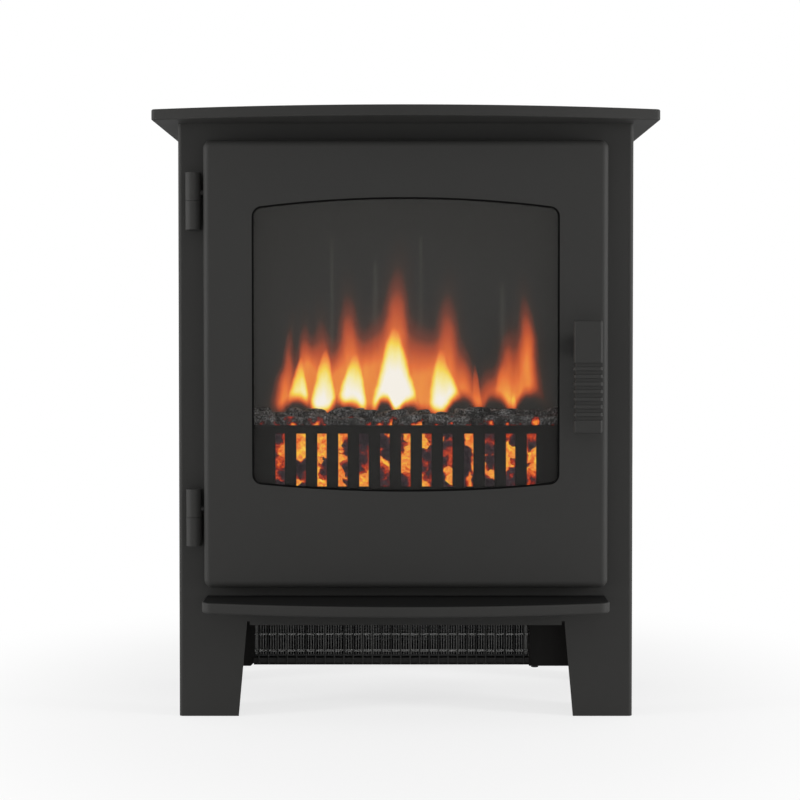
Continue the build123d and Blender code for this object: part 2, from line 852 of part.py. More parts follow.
with BuildPart() as fan_motor:
    slab((right_plate_x, motor_face_x), (rotor_y - fan_motor_flange, rotor_y + fan_motor_flange),
         (rotor_z - fan_motor_flange, rotor_z + fan_motor_flange))
    rod((motor_face_x, motor_face_x + fan_motor_length), rotor_y, rotor_z, fan_motor_radius)
    rod((right_plate_x, shaft_right + running_clearance), rotor_y, rotor_z,
        rotor_shaft_radius + running_clearance, mode=Mode.SUBTRACT)

# Finned heating element across the duct, and the thermal cut-out on the right end plate
element_y = heater_y + element_setback
element_bottom = duct_bottom + element_lift
element_top = pan_bottom - element_drop
element_middle = (element_bottom + element_top) / 2
fin_slots = int((heater_right - heater_left - 2 * element_rail) / fin_pitch)
with BuildPart() as heating_element:
    with BuildSketch(Plane.XZ.offset(-element_y)):
        with Locations((heater_middle, element_middle)):
            Rectangle(heater_right - heater_left, element_top - element_bottom)
            with GridLocations(fin_pitch, 1, fin_slots, 1):
                Rectangle(
                    fin_pitch - fin_thickness, element_top - element_bottom - 2 * element_rail,
                    mode=Mode.SUBTRACT,
                )
    extrude(amount=-element_depth)

with BuildPart() as thermal_cutout:
    rod((right_plate_x, right_plate_x + cutout_height), heater_y + cutout_setback,
        duct_bottom + cutout_lift, cutout_radius)

# Outlet guard: upright wires on a rail, tied by two level wires behind
guard_wire_y = heater_y - guard_rail_thickness - guard_wire + guard_bite
guard_tie_y = guard_wire_y + 2 * guard_wire - guard_bite
guard_top = pan_bottom - guard_top_drop
guard_rail_bottom = duct_bottom + guard_rail_lift
guard_count = int((heater_right - heater_left - 2 * guard_wire) / guard_pitch) + 1
with BuildPart() as outlet_guard:
    for rail_bottom in (guard_rail_bottom, guard_top - guard_rail_height):
        slab((left_plate_x, right_plate_x), (heater_y - guard_rail_thickness, heater_y),
             (rail_bottom, rail_bottom + guard_rail_height))
    for lift in guard_tie_lifts:
        rod(heater_span, guard_tie_y, duct_bottom + lift, guard_wire)
    wire_bottom = guard_rail_bottom - guard_tip
    with Locations((heater_middle, guard_wire_y, wire_bottom)):
        with GridLocations(guard_pitch, 1, guard_count, 1):
            Cylinder(guard_wire, guard_top - wire_bottom, align=(Align.CENTER, Align.CENTER, Align.MIN))

# Cover over the fan motor, held by two long bolts from the base pan
with BuildPart() as motor_cover:
    slab((cover_left, cover_right), (heater_y, cover_back_y), (cover_bottom, pan_bottom))
    slab((cover_left, cover_right - duct_wall), (heater_y + duct_wall, cover_back_y - duct_wall),
         (cover_bottom + duct_wall, pan_bottom), mode=Mode.SUBTRACT)
    drill(cover_bolt_planes, screw_radius + thread_clearance, 2 * duct_wall)

cover_bolts = screw_group(
    cover_bolt_planes, pan_top - cover_bottom, screw_radius, screw_head_radius, screw_head_height
)

# Controls on the body behind the door: plate, switch bodies and three rockers
pivot_y = control_front_y - bezel_thickness
with BuildPart() as control_plate:
    slab((-control_width / 2, control_width / 2), (control_front_y, front_y),
         (control_height - control_tall / 2, control_height + control_tall / 2))
    fillet(control_plate.edges().filter_by(Axis.Y), control_corner)
    for x in switch_places:
        cut_half = switch_width / 2 + thread_clearance
        cut_tall = switch_tall / 2 + thread_clearance
        slab((x - cut_half, x + cut_half), (control_front_y - sheet, front_y + sheet),
             (control_height - cut_tall, control_height + cut_tall), mode=Mode.SUBTRACT)
    drill(control_screw_planes, small_screw_radius + thread_clearance, 2 * sheet)

sheet_screws = screw_group(
    heater_screw_planes + control_screw_planes, sheet + control_plate_thickness, small_screw_radius,
    small_head_radius, small_head_height
)

with BuildPart() as switch_bodies:
    for x in switch_places:
        bezel_half = switch_width / 2 + bezel_border
        bezel_tall = switch_tall / 2 + bezel_border
        slab((x - bezel_half, x + bezel_half), (pivot_y, control_front_y),
             (control_height - bezel_tall, control_height + bezel_tall))
        slab((x - switch_width / 2, x + switch_width / 2), (control_front_y, control_front_y + switch_depth),
             (control_height - switch_tall / 2, control_height + switch_tall / 2))
        recess_half = rocker_width / 2 + rocker_gap
        rod((x - recess_half, x + recess_half), pivot_y, control_height, rocker_radius + rocker_gap,
            mode=Mode.SUBTRACT)
        rod((x - switch_width, x + switch_width), pivot_y, control_height,
            trunnion_radius + running_clearance, mode=Mode.SUBTRACT)


def switch_rocker(x):
    """Make one rocker in its off position, with its pivot pins, at an X place on the plate."""
    tilt = radians(rocker_tilt)
    start = (x - rocker_width / 2, pivot_y, control_height)
    side_plane = Plane(start, x_dir=(0, cos(tilt), sin(tilt)), z_dir=(1, 0, 0))
    crown_z = sqrt(rocker_radius**2 - rocker_crown**2)
    with BuildPart() as rocker:
        with BuildSketch(side_plane):
            with BuildLine():
                ThreePointArc((0, -rocker_radius), (rocker_radius, 0), (0, rocker_radius))
                Polyline(
                    (0, rocker_radius),
                    (-rocker_crown, crown_z),
                    (-rocker_valley, 0),
                    (-rocker_crown, -crown_z),
                    (0, -rocker_radius),
                )
            make_face()
        extrude(amount=rocker_width)
        rod((x - trunnion_length / 2, x + trunnion_length / 2), pivot_y, control_height, trunnion_radius)
    return rocker


light_rocker = switch_rocker(switch_places[0])
low_heat_rocker = switch_rocker(switch_places[1])
high_heat_rocker = switch_rocker(switch_places[2])

# Terminal block on the base pan, and the cable gland in the back panel
terminal_y = front_y + terminal_setback
terminal_pitch = terminal_length / terminal_ways
with BuildPart() as terminal_block:
    slab((terminal_x - terminal_length / 2, terminal_x + terminal_length / 2),
         (terminal_y, terminal_y + terminal_width), (pan_top, pan_top + terminal_height))
    with Locations((terminal_x, terminal_y, pan_top + terminal_height / 2)):
        with GridLocations(terminal_pitch, 1, terminal_ways, 1):
            Cylinder(terminal_hole, 3 * terminal_width, rotation=(90, 0, 0), mode=Mode.SUBTRACT)

gland_plane = Plane((gland_x, back_panel_y, gland_height), z_dir=inward)
with BuildPart() as cable_gland:
    with Locations(gland_plane):
        Cylinder(gland_flange, rear_inset, align=(Align.CENTER, Align.CENTER, Align.MIN))
        Cylinder(gland_radius, sheet + gland_nut, align=(Align.CENTER, Align.CENTER, Align.MAX))
    with Locations(gland_plane.offset(-sheet)):
        Cylinder(gland_flange, gland_nut, align=(Align.CENTER, Align.CENTER, Align.MAX))
    with Locations(gland_plane):
        Cylinder(gland_bore, 4 * (sheet + gland_nut), mode=Mode.SUBTRACT)


def window_face(grow):
    """Make the arched window's outline, grown by a distance all round, on the front face."""
    with BuildSketch(Plane.XZ) as outline:
        with BuildLine():
            ThreePointArc((-window_half, window_top_side), (0, window_top), (window_half, window_top_side))
            Line((window_half, window_top_side), (window_half, window_bottom_side))
            ThreePointArc(
                (window_half, window_bottom_side), (0, window_bottom), (-window_half, window_bottom_side)
            )
            Line((-window_half, window_bottom_side), (-window_half, window_top_side))
        make_face()
        fillet(outline.vertices(), window_corner)
        offset(amount=grow)
    return outline.sketch


def window_sheet(grow, y_front, y_back):
    """Make a flat piece with the window's outline, grown all round, between two Y places."""
    with BuildPart() as piece:
        add(Pos(0, y_front, 0) * window_face(grow))
        extrude(amount=y_back - y_front, dir=inward)
    return piece.part


# Door: a hollow casting with rounded front edges, an arched window and a seat for the glass
glass_front_y = door_front_y + glass_lip
glass_back_y = glass_front_y + glass_thickness
retainer_front_y = glass_back_y + gasket_thickness
retainer_back_y = retainer_front_y + retainer_thickness
boss_back_y = wall_back_y + handle_boss_length
door_tall = door_top - door_bottom
stud_levels = [split + stud_rise for split in hinge_splits]
handle_plane = Plane((handle_x, door_front_y, handle_pivot), z_dir=inward)
post_x = window_half + retainer_post_lap
post_low = window_bottom - retainer_post_lap
post_high = window_top + retainer_post_lap
post_middle = (window_top + window_bottom) / 2
post_places = [
    (x, z)
    for x in (-post_x, post_x)
    for z in (post_middle - retainer_side_drop, post_middle + retainer_side_drop)
] + [(0, post_low), (0, post_high)]
retainer_screw_planes = [Plane((x, retainer_back_y, z), z_dir=outward) for x, z in post_places]


def door_block(inset, y_front, y_back, edge_round):
    """Make a block inside the door's outline, its front edges rounded, between two Y places."""
    with BuildPart() as block:
        with BuildSketch(Plane.XZ.offset(-y_back)):
            with Locations((0, door_middle)):
                RectangleRounded(2 * (door_half - inset), door_tall - 2 * inset, door_corner - inset)
        extrude(amount=y_back - y_front)
        fillet(block.faces().sort_by(Axis.Y)[0].edges(), edge_round)
    return block.part


with BuildPart() as door_casting:
    add(door_block(0, door_front_y, door_back_y, door_edge_round))
    add(door_block(door_wall, wall_back_y, door_back_y, door_edge_round - door_wall), mode=Mode.SUBTRACT)
    with Locations(handle_plane.offset(door_wall)):
        Cylinder(handle_boss_radius, handle_boss_length, align=(Align.CENTER, Align.CENTER, Align.MIN))
    for level in stud_levels:
        slab((-door_half + door_wall, -door_half + door_wall + stud_pad),
             (wall_back_y, door_back_y - door_gap), (level - stud_pad, level + stud_pad))
    for x, z in post_places:
        with Locations(Plane((x, retainer_front_y, z), z_dir=outward)):
            Cylinder(retainer_post, retainer_front_y - wall_back_y,
                     align=(Align.CENTER, Align.CENTER, Align.MIN))
    add(window_sheet(0, door_front_y - door_wall, wall_back_y + door_wall), mode=Mode.SUBTRACT)
    add(window_sheet(glass_lap + glass_gap, glass_front_y, wall_back_y), mode=Mode.SUBTRACT)
    drill([handle_plane], handle_spindle_radius + running_clearance, door_thickness)
    for level in stud_levels:
        rod((-door_half - door_wall, -door_half + stud_depth + thread_clearance), hinge_y, level,
            stud_radius + thread_clearance, mode=Mode.SUBTRACT)
    drill(retainer_screw_planes, small_screw_radius + thread_clearance,
          retainer_back_y - wall_back_y + door_wall / 2)

# Glass, its gasket, and the retainer frame screwed over it from behind
with BuildPart() as door_glass:
    add(window_sheet(glass_lap, glass_front_y, glass_back_y))

with BuildPart() as glass_gasket:
    add(window_sheet(glass_lap, glass_back_y, retainer_front_y))
    add(window_sheet(gasket_inset, glass_back_y - sheet, retainer_front_y + sheet), mode=Mode.SUBTRACT)

with BuildPart() as glass_retainer:
    add(window_sheet(retainer_lap, retainer_front_y, retainer_back_y))
    add(window_sheet(gasket_inset, retainer_front_y - sheet, retainer_back_y + sheet), mode=Mode.SUBTRACT)
    drill(retainer_screw_planes, small_screw_radius + thread_clearance, 2 * sheet)

retainer_screws = screw_group(
    retainer_screw_planes, retainer_back_y - wall_back_y + door_wall / 2 - thread_clearance,
    small_screw_radius, small_head_radius, small_head_height
)

# Hinges: body knuckles with feet on the front panel, door knuckles with studs, and pins
with BuildPart() as body_hinge_knuckles:
    for split in hinge_splits:
        with Locations((hinge_x, hinge_y, split - knuckle_gap / 2)):
            Cylinder(knuckle_radius, knuckle_below, align=(Align.CENTER, Align.CENTER, Align.MAX))
        slab((hinge_x - foot_width / 2, hinge_x + foot_width / 2), (hinge_y, front_y),
             (split - knuckle_gap / 2 - knuckle_below, split - knuckle_gap / 2))
        with Locations((hinge_x, hinge_y, split)):
            Cylinder(pin_radius, 2 * (knuckle_below - knuckle_cap), mode=Mode.SUBTRACT)
    drill(hinge_screw_planes, screw_radius + thread_clearance, sheet + casing_screw_bite + thread_clearance)

with BuildPart() as door_hinge_knuckles:
    for split in hinge_splits:
        with Locations((hinge_x, hinge_y, split + knuckle_gap / 2)):
            Cylinder(knuckle_radius, knuckle_above, align=(Align.CENTER, Align.CENTER, Align.MIN))
        rod((hinge_x, -door_half + stud_depth), hinge_y, split + stud_rise, stud_radius)
        with Locations((hinge_x, hinge_y, split)):
            Cylinder(pin_radius + running_clearance, 2 * (knuckle_above - knuckle_cap), mode=Mode.SUBTRACT)

with BuildPart() as hinge_pins:
    for split in hinge_splits:
        with Locations((hinge_x, hinge_y, split - knuckle_below + knuckle_cap)):
            Cylinder(pin_radius, knuckle_below + knuckle_above - 2 * knuckle_cap - knuckle_gap,
                     align=(Align.CENTER, Align.CENTER, Align.MIN))

# Handle: a grooved grip on a neck, turning on a spindle through the door
grip_back_y = door_front_y - handle_stand_off
grip_front_y = grip_back_y - handle_thickness
groove_levels = [handle_pivot - groove_drop - i * groove_pitch for i in range(groove_count)]
grip_middle = handle_pivot + (handle_above - handle_below) / 2
with BuildPart() as door_handle:
    slab((handle_x - handle_width / 2, handle_x + handle_width / 2), (grip_front_y, grip_back_y),
         (handle_pivot - handle_below, handle_pivot + handle_above))
    fillet(door_handle.edges(), handle_round)
    with BuildSketch(Plane.XZ.offset(-grip_back_y)):
        with Locations(*[(handle_x, level - groove_width / 2) for level in groove_levels]):
            Rectangle(2 * handle_width, groove_width)
        with Locations((handle_x, grip_middle)):
            Rectangle(handle_width - 2 * groove_depth, handle_above + handle_below, mode=Mode.SUBTRACT)
    extrude(amount=handle_thickness, mode=Mode.SUBTRACT)
    with BuildSketch(Plane.XZ.offset(-grip_front_y)):
        with Locations(*[(handle_x, level - groove_width / 2) for level in groove_levels]):
            Rectangle(2 * handle_width, groove_width)
    extrude(amount=-groove_depth, mode=Mode.SUBTRACT)
    with Locations(handle_plane.offset(-neck_gap)):
        Cylinder(neck_radius, handle_stand_off - neck_gap, align=(Align.CENTER, Align.CENTER, Align.MAX))
    with Locations(handle_plane):
        Cylinder(handle_spindle_radius, 2 * (neck_gap + spindle_grip_depth), mode=Mode.SUBTRACT)

# Spindle, latch arm and nut behind the door, and the magnet that holds the arm on the body
arm_front_y = boss_back_y + neck_gap
arm_back_y = arm_front_y + arm_thickness
nut_back_y = arm_back_y + nut_thickness
with BuildPart() as handle_spindle:
    with Locations(handle_plane.offset(-neck_gap - spindle_grip_depth)):
        Cylinder(handle_spindle_radius, nut_back_y - door_front_y + neck_gap + spindle_grip_depth,
                 align=(Align.CENTER, Align.CENTER, Align.MIN))

with BuildPart() as latch_arm:
    with BuildSketch(Plane.XZ.offset(-arm_front_y)):
        with Locations((handle_x, handle_pivot)):
            Circle(arm_hub_radius)
        with Locations((handle_x, handle_pivot + arm_reach)):
            Circle(arm_end_radius)
        with Locations((handle_x, handle_pivot + arm_reach / 2)):
            Rectangle(2 * arm_end_radius, arm_reach)
        with Locations((handle_x, handle_pivot)):
            Circle(handle_spindle_radius, mode=Mode.SUBTRACT)
    extrude(amount=-arm_thickness)

with BuildPart() as spindle_nut:
    with BuildSketch(Plane.XZ.offset(-arm_back_y)):
        with Locations((handle_x, handle_pivot)):
            RegularPolygon(nut_radius, 6)
            Circle(handle_spindle_radius, mode=Mode.SUBTRACT)
    extrude(amount=-nut_thickness)

magnet_plane = Plane((handle_x, front_y, handle_pivot + arm_reach), z_dir=outward)
with BuildPart() as magnet_catch:
    with Locations(magnet_plane):
        Cylinder(magnet_radius, front_y - arm_back_y - magnet_gap,
                 align=(Align.CENTER, Align.CENTER, Align.MIN))

pieces = {
    "top_plate": top_plate,
    "casing_screws": casing_screws,
    "front_panel": front_panel,
    "left_side_panel": left_side_panel,
    "right_side_panel": right_side_panel,
    "body_roof": body_roof,
    "base_pan": base_pan,
    "back_panel": back_panel,
    "back_panel_screws": back_panel_screws,
    "hearth_plate": hearth_plate,
    "hearth_screws": hearth_screws,
    "left_cheek": left_cheek,
    "right_cheek": right_cheek,
    "firebox_roof": firebox_roof,
    "firebox_floor": firebox_floor,
    "grate": grate,
    "grate_screws": grate_screws,
    "fuel_bed": fuel_bed,
    "coals": coals,
    "flame_screen": flame_screen,
    "screen_channels": screen_channels,
    "flame_mask": flame_mask,
    "flicker_spindle": flicker_spindle,
    "spindle_bush": spindle_bush,
    "flicker_motor": flicker_motor,
    "ember_lamp_board": ember_lamp_board,
    "flame_lamp_board": flame_lamp_board,
    "fan_scroll": fan_scroll,
    "outlet_tongue": outlet_tongue,
    "heater_left_plate": heater_left_plate,
    "heater_right_plate": heater_right_plate,
    "fan_rotor": fan_rotor,
    "fan_bush": fan_bush,
    "fan_motor": fan_motor,
    "heating_element": heating_element,
    "thermal_cutout": thermal_cutout,
    "outlet_guard": outlet_guard,
    "motor_cover": motor_cover,
    "cover_bolts": cover_bolts,
    "control_plate": control_plate,
    "sheet_screws": sheet_screws,
    "switch_bodies": switch_bodies,
    "light_rocker": light_rocker,
    "low_heat_rocker": low_heat_rocker,
    "high_heat_rocker": high_heat_rocker,
    "terminal_block": terminal_block,
    "cable_gland": cable_gland,
    "door_casting": door_casting,
    "door_glass": door_glass,
    "glass_gasket": glass_gasket,
    "glass_retainer": glass_retainer,
    "retainer_screws": retainer_screws,
    "body_hinge_knuckles": body_hinge_knuckles,
    "door_hinge_knuckles": door_hinge_knuckles,
    "hinge_pins": hinge_pins,
    "door_handle": door_handle,
    "handle_spindle": handle_spindle,
    "latch_arm": latch_arm,
    "spindle_nut": spindle_nut,
    "magnet_catch": magnet_catch,
}
os.makedirs("parts", exist_ok=True)
for label, piece in pieces.items():
    piece.part.label = label
    export_step(piece.part, f"parts/{label}.step")
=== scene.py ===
import logging
import math
import random
from dataclasses import dataclass
from enum import Enum
from typing import Optional, Union

import bmesh
import bpy
from mathutils import Matrix, Vector, noise


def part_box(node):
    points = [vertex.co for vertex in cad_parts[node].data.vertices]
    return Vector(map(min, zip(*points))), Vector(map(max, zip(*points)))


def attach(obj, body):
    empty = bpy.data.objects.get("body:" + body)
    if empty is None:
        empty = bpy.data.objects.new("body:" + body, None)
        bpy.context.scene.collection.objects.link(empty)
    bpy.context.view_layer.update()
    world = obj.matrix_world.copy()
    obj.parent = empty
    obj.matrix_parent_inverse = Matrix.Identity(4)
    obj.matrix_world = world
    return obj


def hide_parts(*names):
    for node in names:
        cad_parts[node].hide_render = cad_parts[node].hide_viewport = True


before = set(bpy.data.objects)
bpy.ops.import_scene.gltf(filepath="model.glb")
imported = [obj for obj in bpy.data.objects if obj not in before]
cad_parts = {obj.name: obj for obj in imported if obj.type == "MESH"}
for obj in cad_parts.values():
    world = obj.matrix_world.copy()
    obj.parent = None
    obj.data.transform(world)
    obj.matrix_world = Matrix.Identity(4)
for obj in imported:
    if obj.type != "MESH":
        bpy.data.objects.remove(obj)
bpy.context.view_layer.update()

LOG = logging.getLogger("stove")
Colour = tuple[float, float, float]
Scalar = Union[float, "Value"]

MILLIMETRES = 1000.0
HEART_TAPER, HEART_TIP = 1.7, 0.03
VEIL_TAPER, VEIL_TIP, VEIL_FADE = 1.1, 0.30, 0.76
LUMP_DENT, LUMP_SCALE = 0.10, 120.0
CHIP_DENT, CHIP_SCALE = 0.035, 700.0


class Value:
    """A number or colour in a shader: a node's socket with Python's arithmetic."""

    def __init__(self, shader: "Shader", socket: bpy.types.NodeSocket) -> None:
        """Wrap a socket of a shader's node."""
        self.shader = shader
        self.socket = socket

    def out(self, name: str) -> "Value":
        """Give another output of the same node."""
        return Value(self.shader, self.socket.node.outputs[name])

    def math(self, operation: str, *others: Scalar) -> "Value":
        """Add one Math node with this value first.

        Args:
            operation: the node's operation.
            others: the values of its other inputs.

        Returns:
            The node's result.
        """
        inputs = dict(enumerate((self, *others)))
        return self.shader.node("ShaderNodeMath", {"operation": operation}, inputs)

    def __add__(self, other: Scalar) -> "Value":
        """Add."""
        return self.math("ADD", other)

    __radd__ = __add__

    def __sub__(self, other: Scalar) -> "Value":
        """Subtract."""
        return self.math("SUBTRACT", other)

    def __rsub__(self, other: Scalar) -> "Value":
        """Subtract from a number."""
        return (self * -1.0) + other

    def __mul__(self, other: Scalar) -> "Value":
        """Multiply."""
        return self.math("MULTIPLY", other)

    __rmul__ = __mul__

    def __truediv__(self, other: Scalar) -> "Value":
        """Divide."""
        return self.math("DIVIDE", other)

    def __pow__(self, other: float) -> "Value":
        """Raise to a power."""
        return self.math("POWER", other)

    def __abs__(self) -> "Value":
        """Drop the sign."""
        return self.math("ABSOLUTE")

    def at_least(self, other: Scalar) -> "Value":
        """Keep the larger."""
        return self.math("MAXIMUM", other)

    def at_most(self, other: Scalar) -> "Value":
        """Keep the smaller."""
        return self.math("MINIMUM", other)

    def between(self, low: float, high: float) -> "Value":
        """Map low to 0 and high to 1, eased and held outside them.

        Args:
            low: what becomes 0.
            high: what becomes 1.

        Returns:
            The eased share.
        """
        settings = {"interpolation_type": "SMOOTHSTEP"}
        inputs = {"Value": self, "From Min": low, "From Max": high}
        return self.shader.node("ShaderNodeMapRange", settings, inputs)


class Shader:
    """The node tree of a material or a world, filled by short calls."""

    def __init__(self, owner: Union[bpy.types.Material, bpy.types.World]) -> None:
        """Start an empty node tree on its owner.

        Args:
            owner: the material or world that the tree belongs to.
        """
        self.owner = owner
        owner.use_nodes = True
        self.tree = owner.node_tree
        self.tree.nodes.clear()

    def _make(self, kind: str, settings: Optional[dict] = None,
              inputs: Optional[dict] = None) -> bpy.types.Node:
        """Add any node.

        Args:
            kind: the node's type.
            settings: its attributes, set first; "stops" fills a colour ramp.
            inputs: a number, colour or Value for each named or numbered socket.

        Returns:
            The node.
        """
        made = self.tree.nodes.new(kind)
        for key, setting in (settings or {}).items():
            if key == "stops":
                self._fill_ramp(made.color_ramp, setting)
            else:
                setattr(made, key, setting)
        for key, value in (inputs or {}).items():
            if isinstance(value, Value):
                self.tree.links.new(value.socket, made.inputs[key])
            else:
                made.inputs[key].default_value = value
        return made

    def node(self, kind: str, settings: Optional[dict] = None, inputs: Optional[dict] = None,
             output: Union[str, int] = 0) -> Value:
        """Add a node and give one of its outputs.

        Args:
            kind: the node's type.
            settings: its attributes.
            inputs: what its sockets take.
            output: the socket to give back.

        Returns:
            The chosen output.
        """
        return Value(self, self._make(kind, settings, inputs).outputs[output])

    @staticmethod
    def _fill_ramp(ramp: bpy.types.ColorRamp, stops: list[tuple[float, Colour]]) -> None:
        """Give a ramp its stops.

        Args:
            ramp: the colour ramp.
            stops: places and colours, from low to high.
        """
        while len(ramp.elements) < len(stops):
            ramp.elements.new(1.0)
        for element, (place, colour) in zip(ramp.elements, stops):
            element.position = place
            element.color = (*colour, 1.0)

    def place(self) -> Value:
        """Give the point on the piece, in metres from the stove's origin."""
        return self.node("ShaderNodeTexCoord", output="Object")

    def axis(self, point: Value, name: str) -> Value:
        """Give one coordinate of a point."""
        return self.node("ShaderNodeSeparateXYZ", inputs={0: point}, output=name)

    def stretched(self, point: Value, scale: tuple[float, float, float]) -> Value:
        """Scale a point along each axis."""
        return self.node("ShaderNodeVectorMath", {"operation": "MULTIPLY"}, {0: point, 1: scale})

    def warped(self, point: Value, scale: float, reach: float) -> Value:
        """Push a point about by soft noise.

        Args:
            point: the point.
            scale: the noise's scale.
            reach: the farthest that it is pushed.

        Returns:
            The moved point.
        """
        push = self.noise(point, scale, detail=2.0).out("Color")
        settings = {"operation": "MULTIPLY_ADD"}
        return self.node("ShaderNodeVectorMath", settings, {0: push, 1: (reach,) * 3, 2: point})

    def noise(self, point: Value, scale: float, detail: float = 3.0, roughness: float = 0.55) -> Value:
        """Give soft noise from 0 to 1 at a point."""
        inputs = {"Vector": point, "Scale": scale, "Detail": detail, "Roughness": roughness}
        return self.node("ShaderNodeTexNoise", inputs=inputs)

    def cells(self, point: Value, scale: float, feature: str = "F1") -> Value:
        """Give the distance to the nearest cell point, or to the cells' edges."""
        return self.node("ShaderNodeTexVoronoi", {"feature": feature}, {"Vector": point, "Scale": scale})

    def ramp(self, factor: Value, stops: list[tuple[float, Colour]]) -> Value:
        """Turn a number into a colour."""
        return self.node("ShaderNodeValToRGB", {"stops": stops}, {0: factor})

    def mix(self, factor: Scalar, first: Union[Colour, Value], second: Union[Colour, Value],
            blend: str = "MIX") -> Value:
        """Mix two colours.

        Args:
            factor: the share of the second.
            first: the colour at 0.
            second: the colour at 1.
            blend: the way they mix.

        Returns:
            The mixed colour.
        """
        settings = {"data_type": "RGBA", "blend_type": blend}
        full = [c if isinstance(c, Value) else (*c, 1.0) for c in (first, second)]
        return self.node("ShaderNodeMix", settings, {0: factor, 6: full[0], 7: full[1]}, output=2)

    def bump(self, height: Value, strength: float, distance: float) -> Value:
        """Turn a height into a normal."""
        inputs = {"Height": height, "Strength": strength, "Distance": distance}
        return self.node("ShaderNodeBump", inputs=inputs)

    def surface(self, **inputs: Union[Scalar, Colour]) -> bpy.types.Material:
        """Finish the material with a Principled surface.

        Args:
            inputs: its sockets, with words joined by underscores.

        Returns:
            The material.
        """
        named = {}
        for key, value in inputs.items():
            name = key.replace("_", " ").title().replace("Ior", "IOR")
            named[name] = (*value, 1.0) if isinstance(value, tuple) else value
        self.show(self.node("ShaderNodeBsdfPrincipled", inputs=named))
        return self.owner

    def show(self, shade: Value) -> None:
        """Send a shade to the owner's surface."""
        kind = "World" if isinstance(self.owner, bpy.types.World) else "Material"
        self._make(f"ShaderNodeOutput{kind}", inputs={"Surface": shade})


@dataclass(frozen=True)
class PowderCoat:
    """Matt paint baked on steel: a fine orange peel, a breath of cloudiness and, where asked, painted shade
    on the faces that look up.
    """

    name: str
    colour: Colour
    roughness: float = 0.62
    specular: float = 0.16
    peel_scale: float = 900.0
    peel_depth: float = 0.00006
    cloud_scale: float = 9.0
    cloud_share: float = 0.10
    top_shade_share: float = 1.0

    def material(self) -> bpy.types.Material:
        """Make the paint's material.

        Returns:
            The material.
        """
        shader = Shader(bpy.data.materials.new(self.name))
        point = shader.place()
        cloud = shader.noise(point, self.cloud_scale, detail=4.0)
        speck = shader.noise(point, self.peel_scale, detail=2.0)
        deep = tuple(c * (1 - self.cloud_share) for c in self.colour)
        pale = tuple(c * (1 + self.cloud_share) for c in self.colour)
        tone = shader.mix(cloud * 0.7 + speck * 0.3, deep, pale)
        # Painted shade: faces that look up are darkened to a share of the paint's colour, as if in shadow.
        if self.top_shade_share < 1.0:
            up = shader.axis(shader.node("ShaderNodeNewGeometry", output="Normal"), "Z").between(0.5, 0.9)
            tone = shader.mix(up, tone, tuple(c * self.top_shade_share for c in self.colour))
        return shader.surface(
            base_color=tone,
            roughness=self.roughness + (speck - 0.5) * 0.12,
            specular_ior_level=self.specular,
            normal=shader.bump(speck, 0.35, self.peel_depth),
        )


@dataclass(frozen=True)
class Metal:
    """Bare or plated metal with a rolled or turned grain."""

    name: str
    colour: Colour
    roughness: float
    grain: tuple[float, float, float]
    spots: float = 0.0

    def material(self) -> bpy.types.Material:
        """Make the metal's material.

        Returns:
            The material.
        """
        shader = Shader(bpy.data.materials.new(self.name))
        point = shader.place()
        grain = shader.noise(shader.stretched(point, self.grain), 30.0, detail=4.0)
        spangle = shader.cells(point, 140.0)
        shade = grain * (1 - self.spots) + spangle * (1.4 * self.spots)
        tone = shader.mix(shade, tuple(c * 0.72 for c in self.colour), self.colour)
        return shader.surface(
            base_color=tone,
            metallic=1.0,
            roughness=self.roughness + (grain - 0.5) * 0.18,
            normal=shader.bump(grain, 0.15, 0.00004),
        )


@dataclass(frozen=True)
class Moulding:
    """Moulded plastic or rubber with a spark-eroded grain."""

    name: str
    colour: Colour
    roughness: float
    grain_scale: float = 1400.0
    specular: float = 0.35

    def material(self) -> bpy.types.Material:
        """Make the moulding's material.

        Returns:
            The material.
        """
        shader = Shader(bpy.data.materials.new(self.name))
        point = shader.place()
        grain = shader.noise(point, self.grain_scale, detail=2.0)
        flow = shader.noise(point, 25.0, detail=3.0)
        tone = shader.mix(flow, tuple(c * 0.88 for c in self.colour), self.colour)
        return shader.surface(
            base_color=tone,
            roughness=self.roughness + (grain - 0.5) * 0.15,
            specular_ior_level=self.specular,
            normal=shader.bump(grain, 0.25, 0.00004),
        )


@dataclass(frozen=True)
class WireGuard:
    """Black wire with its two level ties coloured pale behind the uprights."""

    name: str
    ties: tuple[float, float]
    tie_front: float
    half: float = 0.0008
    lacquer: Colour = (0.010, 0.010, 0.0095)
    wire: Colour = (0.92, 0.92, 0.90)

    def material(self) -> bpy.types.Material:
        """Make the guard's material.

        Returns:
            The material.
        """
        shader = Shader(bpy.data.materials.new(self.name))
        point = shader.place()
        z = shader.axis(point, "Z")
        near = abs(z - self.ties[0]).at_most(abs(z - self.ties[1]))
        # The two level ties are coloured pale, only behind the uprights' front.
        pale_ties = (1.0 - near.between(self.half, 1.2 * self.half))
        pale_ties = pale_ties * shader.axis(point, "Y").between(self.tie_front, self.tie_front + 0.0001)
        scuff = shader.noise(point, 500.0)
        return shader.surface(
            base_color=shader.mix(pale_ties, self.lacquer, self.wire),
            roughness=0.5 + scuff * 0.2,
            specular_ior_level=0.2,
        )


@dataclass(frozen=True)
class FinPack:
    """Dull finned element between two black rails."""

    name: str
    low: float
    high: float
    rail: float = 0.0020
    fin: Colour = (0.17, 0.17, 0.165)
    black: Colour = (0.008, 0.008, 0.008)

    def material(self) -> bpy.types.Material:
        """Make the element's material.

        Returns:
            The material.
        """
        shader = Shader(bpy.data.materials.new(self.name))
        point = shader.place()
        z = shader.axis(point, "Z")
        inside = z.between(self.low + self.rail, self.low + 1.1 * self.rail)
        inside = inside * (1.0 - z.between(self.high - 1.1 * self.rail, self.high - self.rail))
        bloom = shader.noise(point, 300.0)
        return shader.surface(
            base_color=shader.mix(inside * (0.6 + bloom * 0.4), self.black, self.fin),
            metallic=inside * 0.6,
            roughness=0.5 + bloom * 0.2,
        )


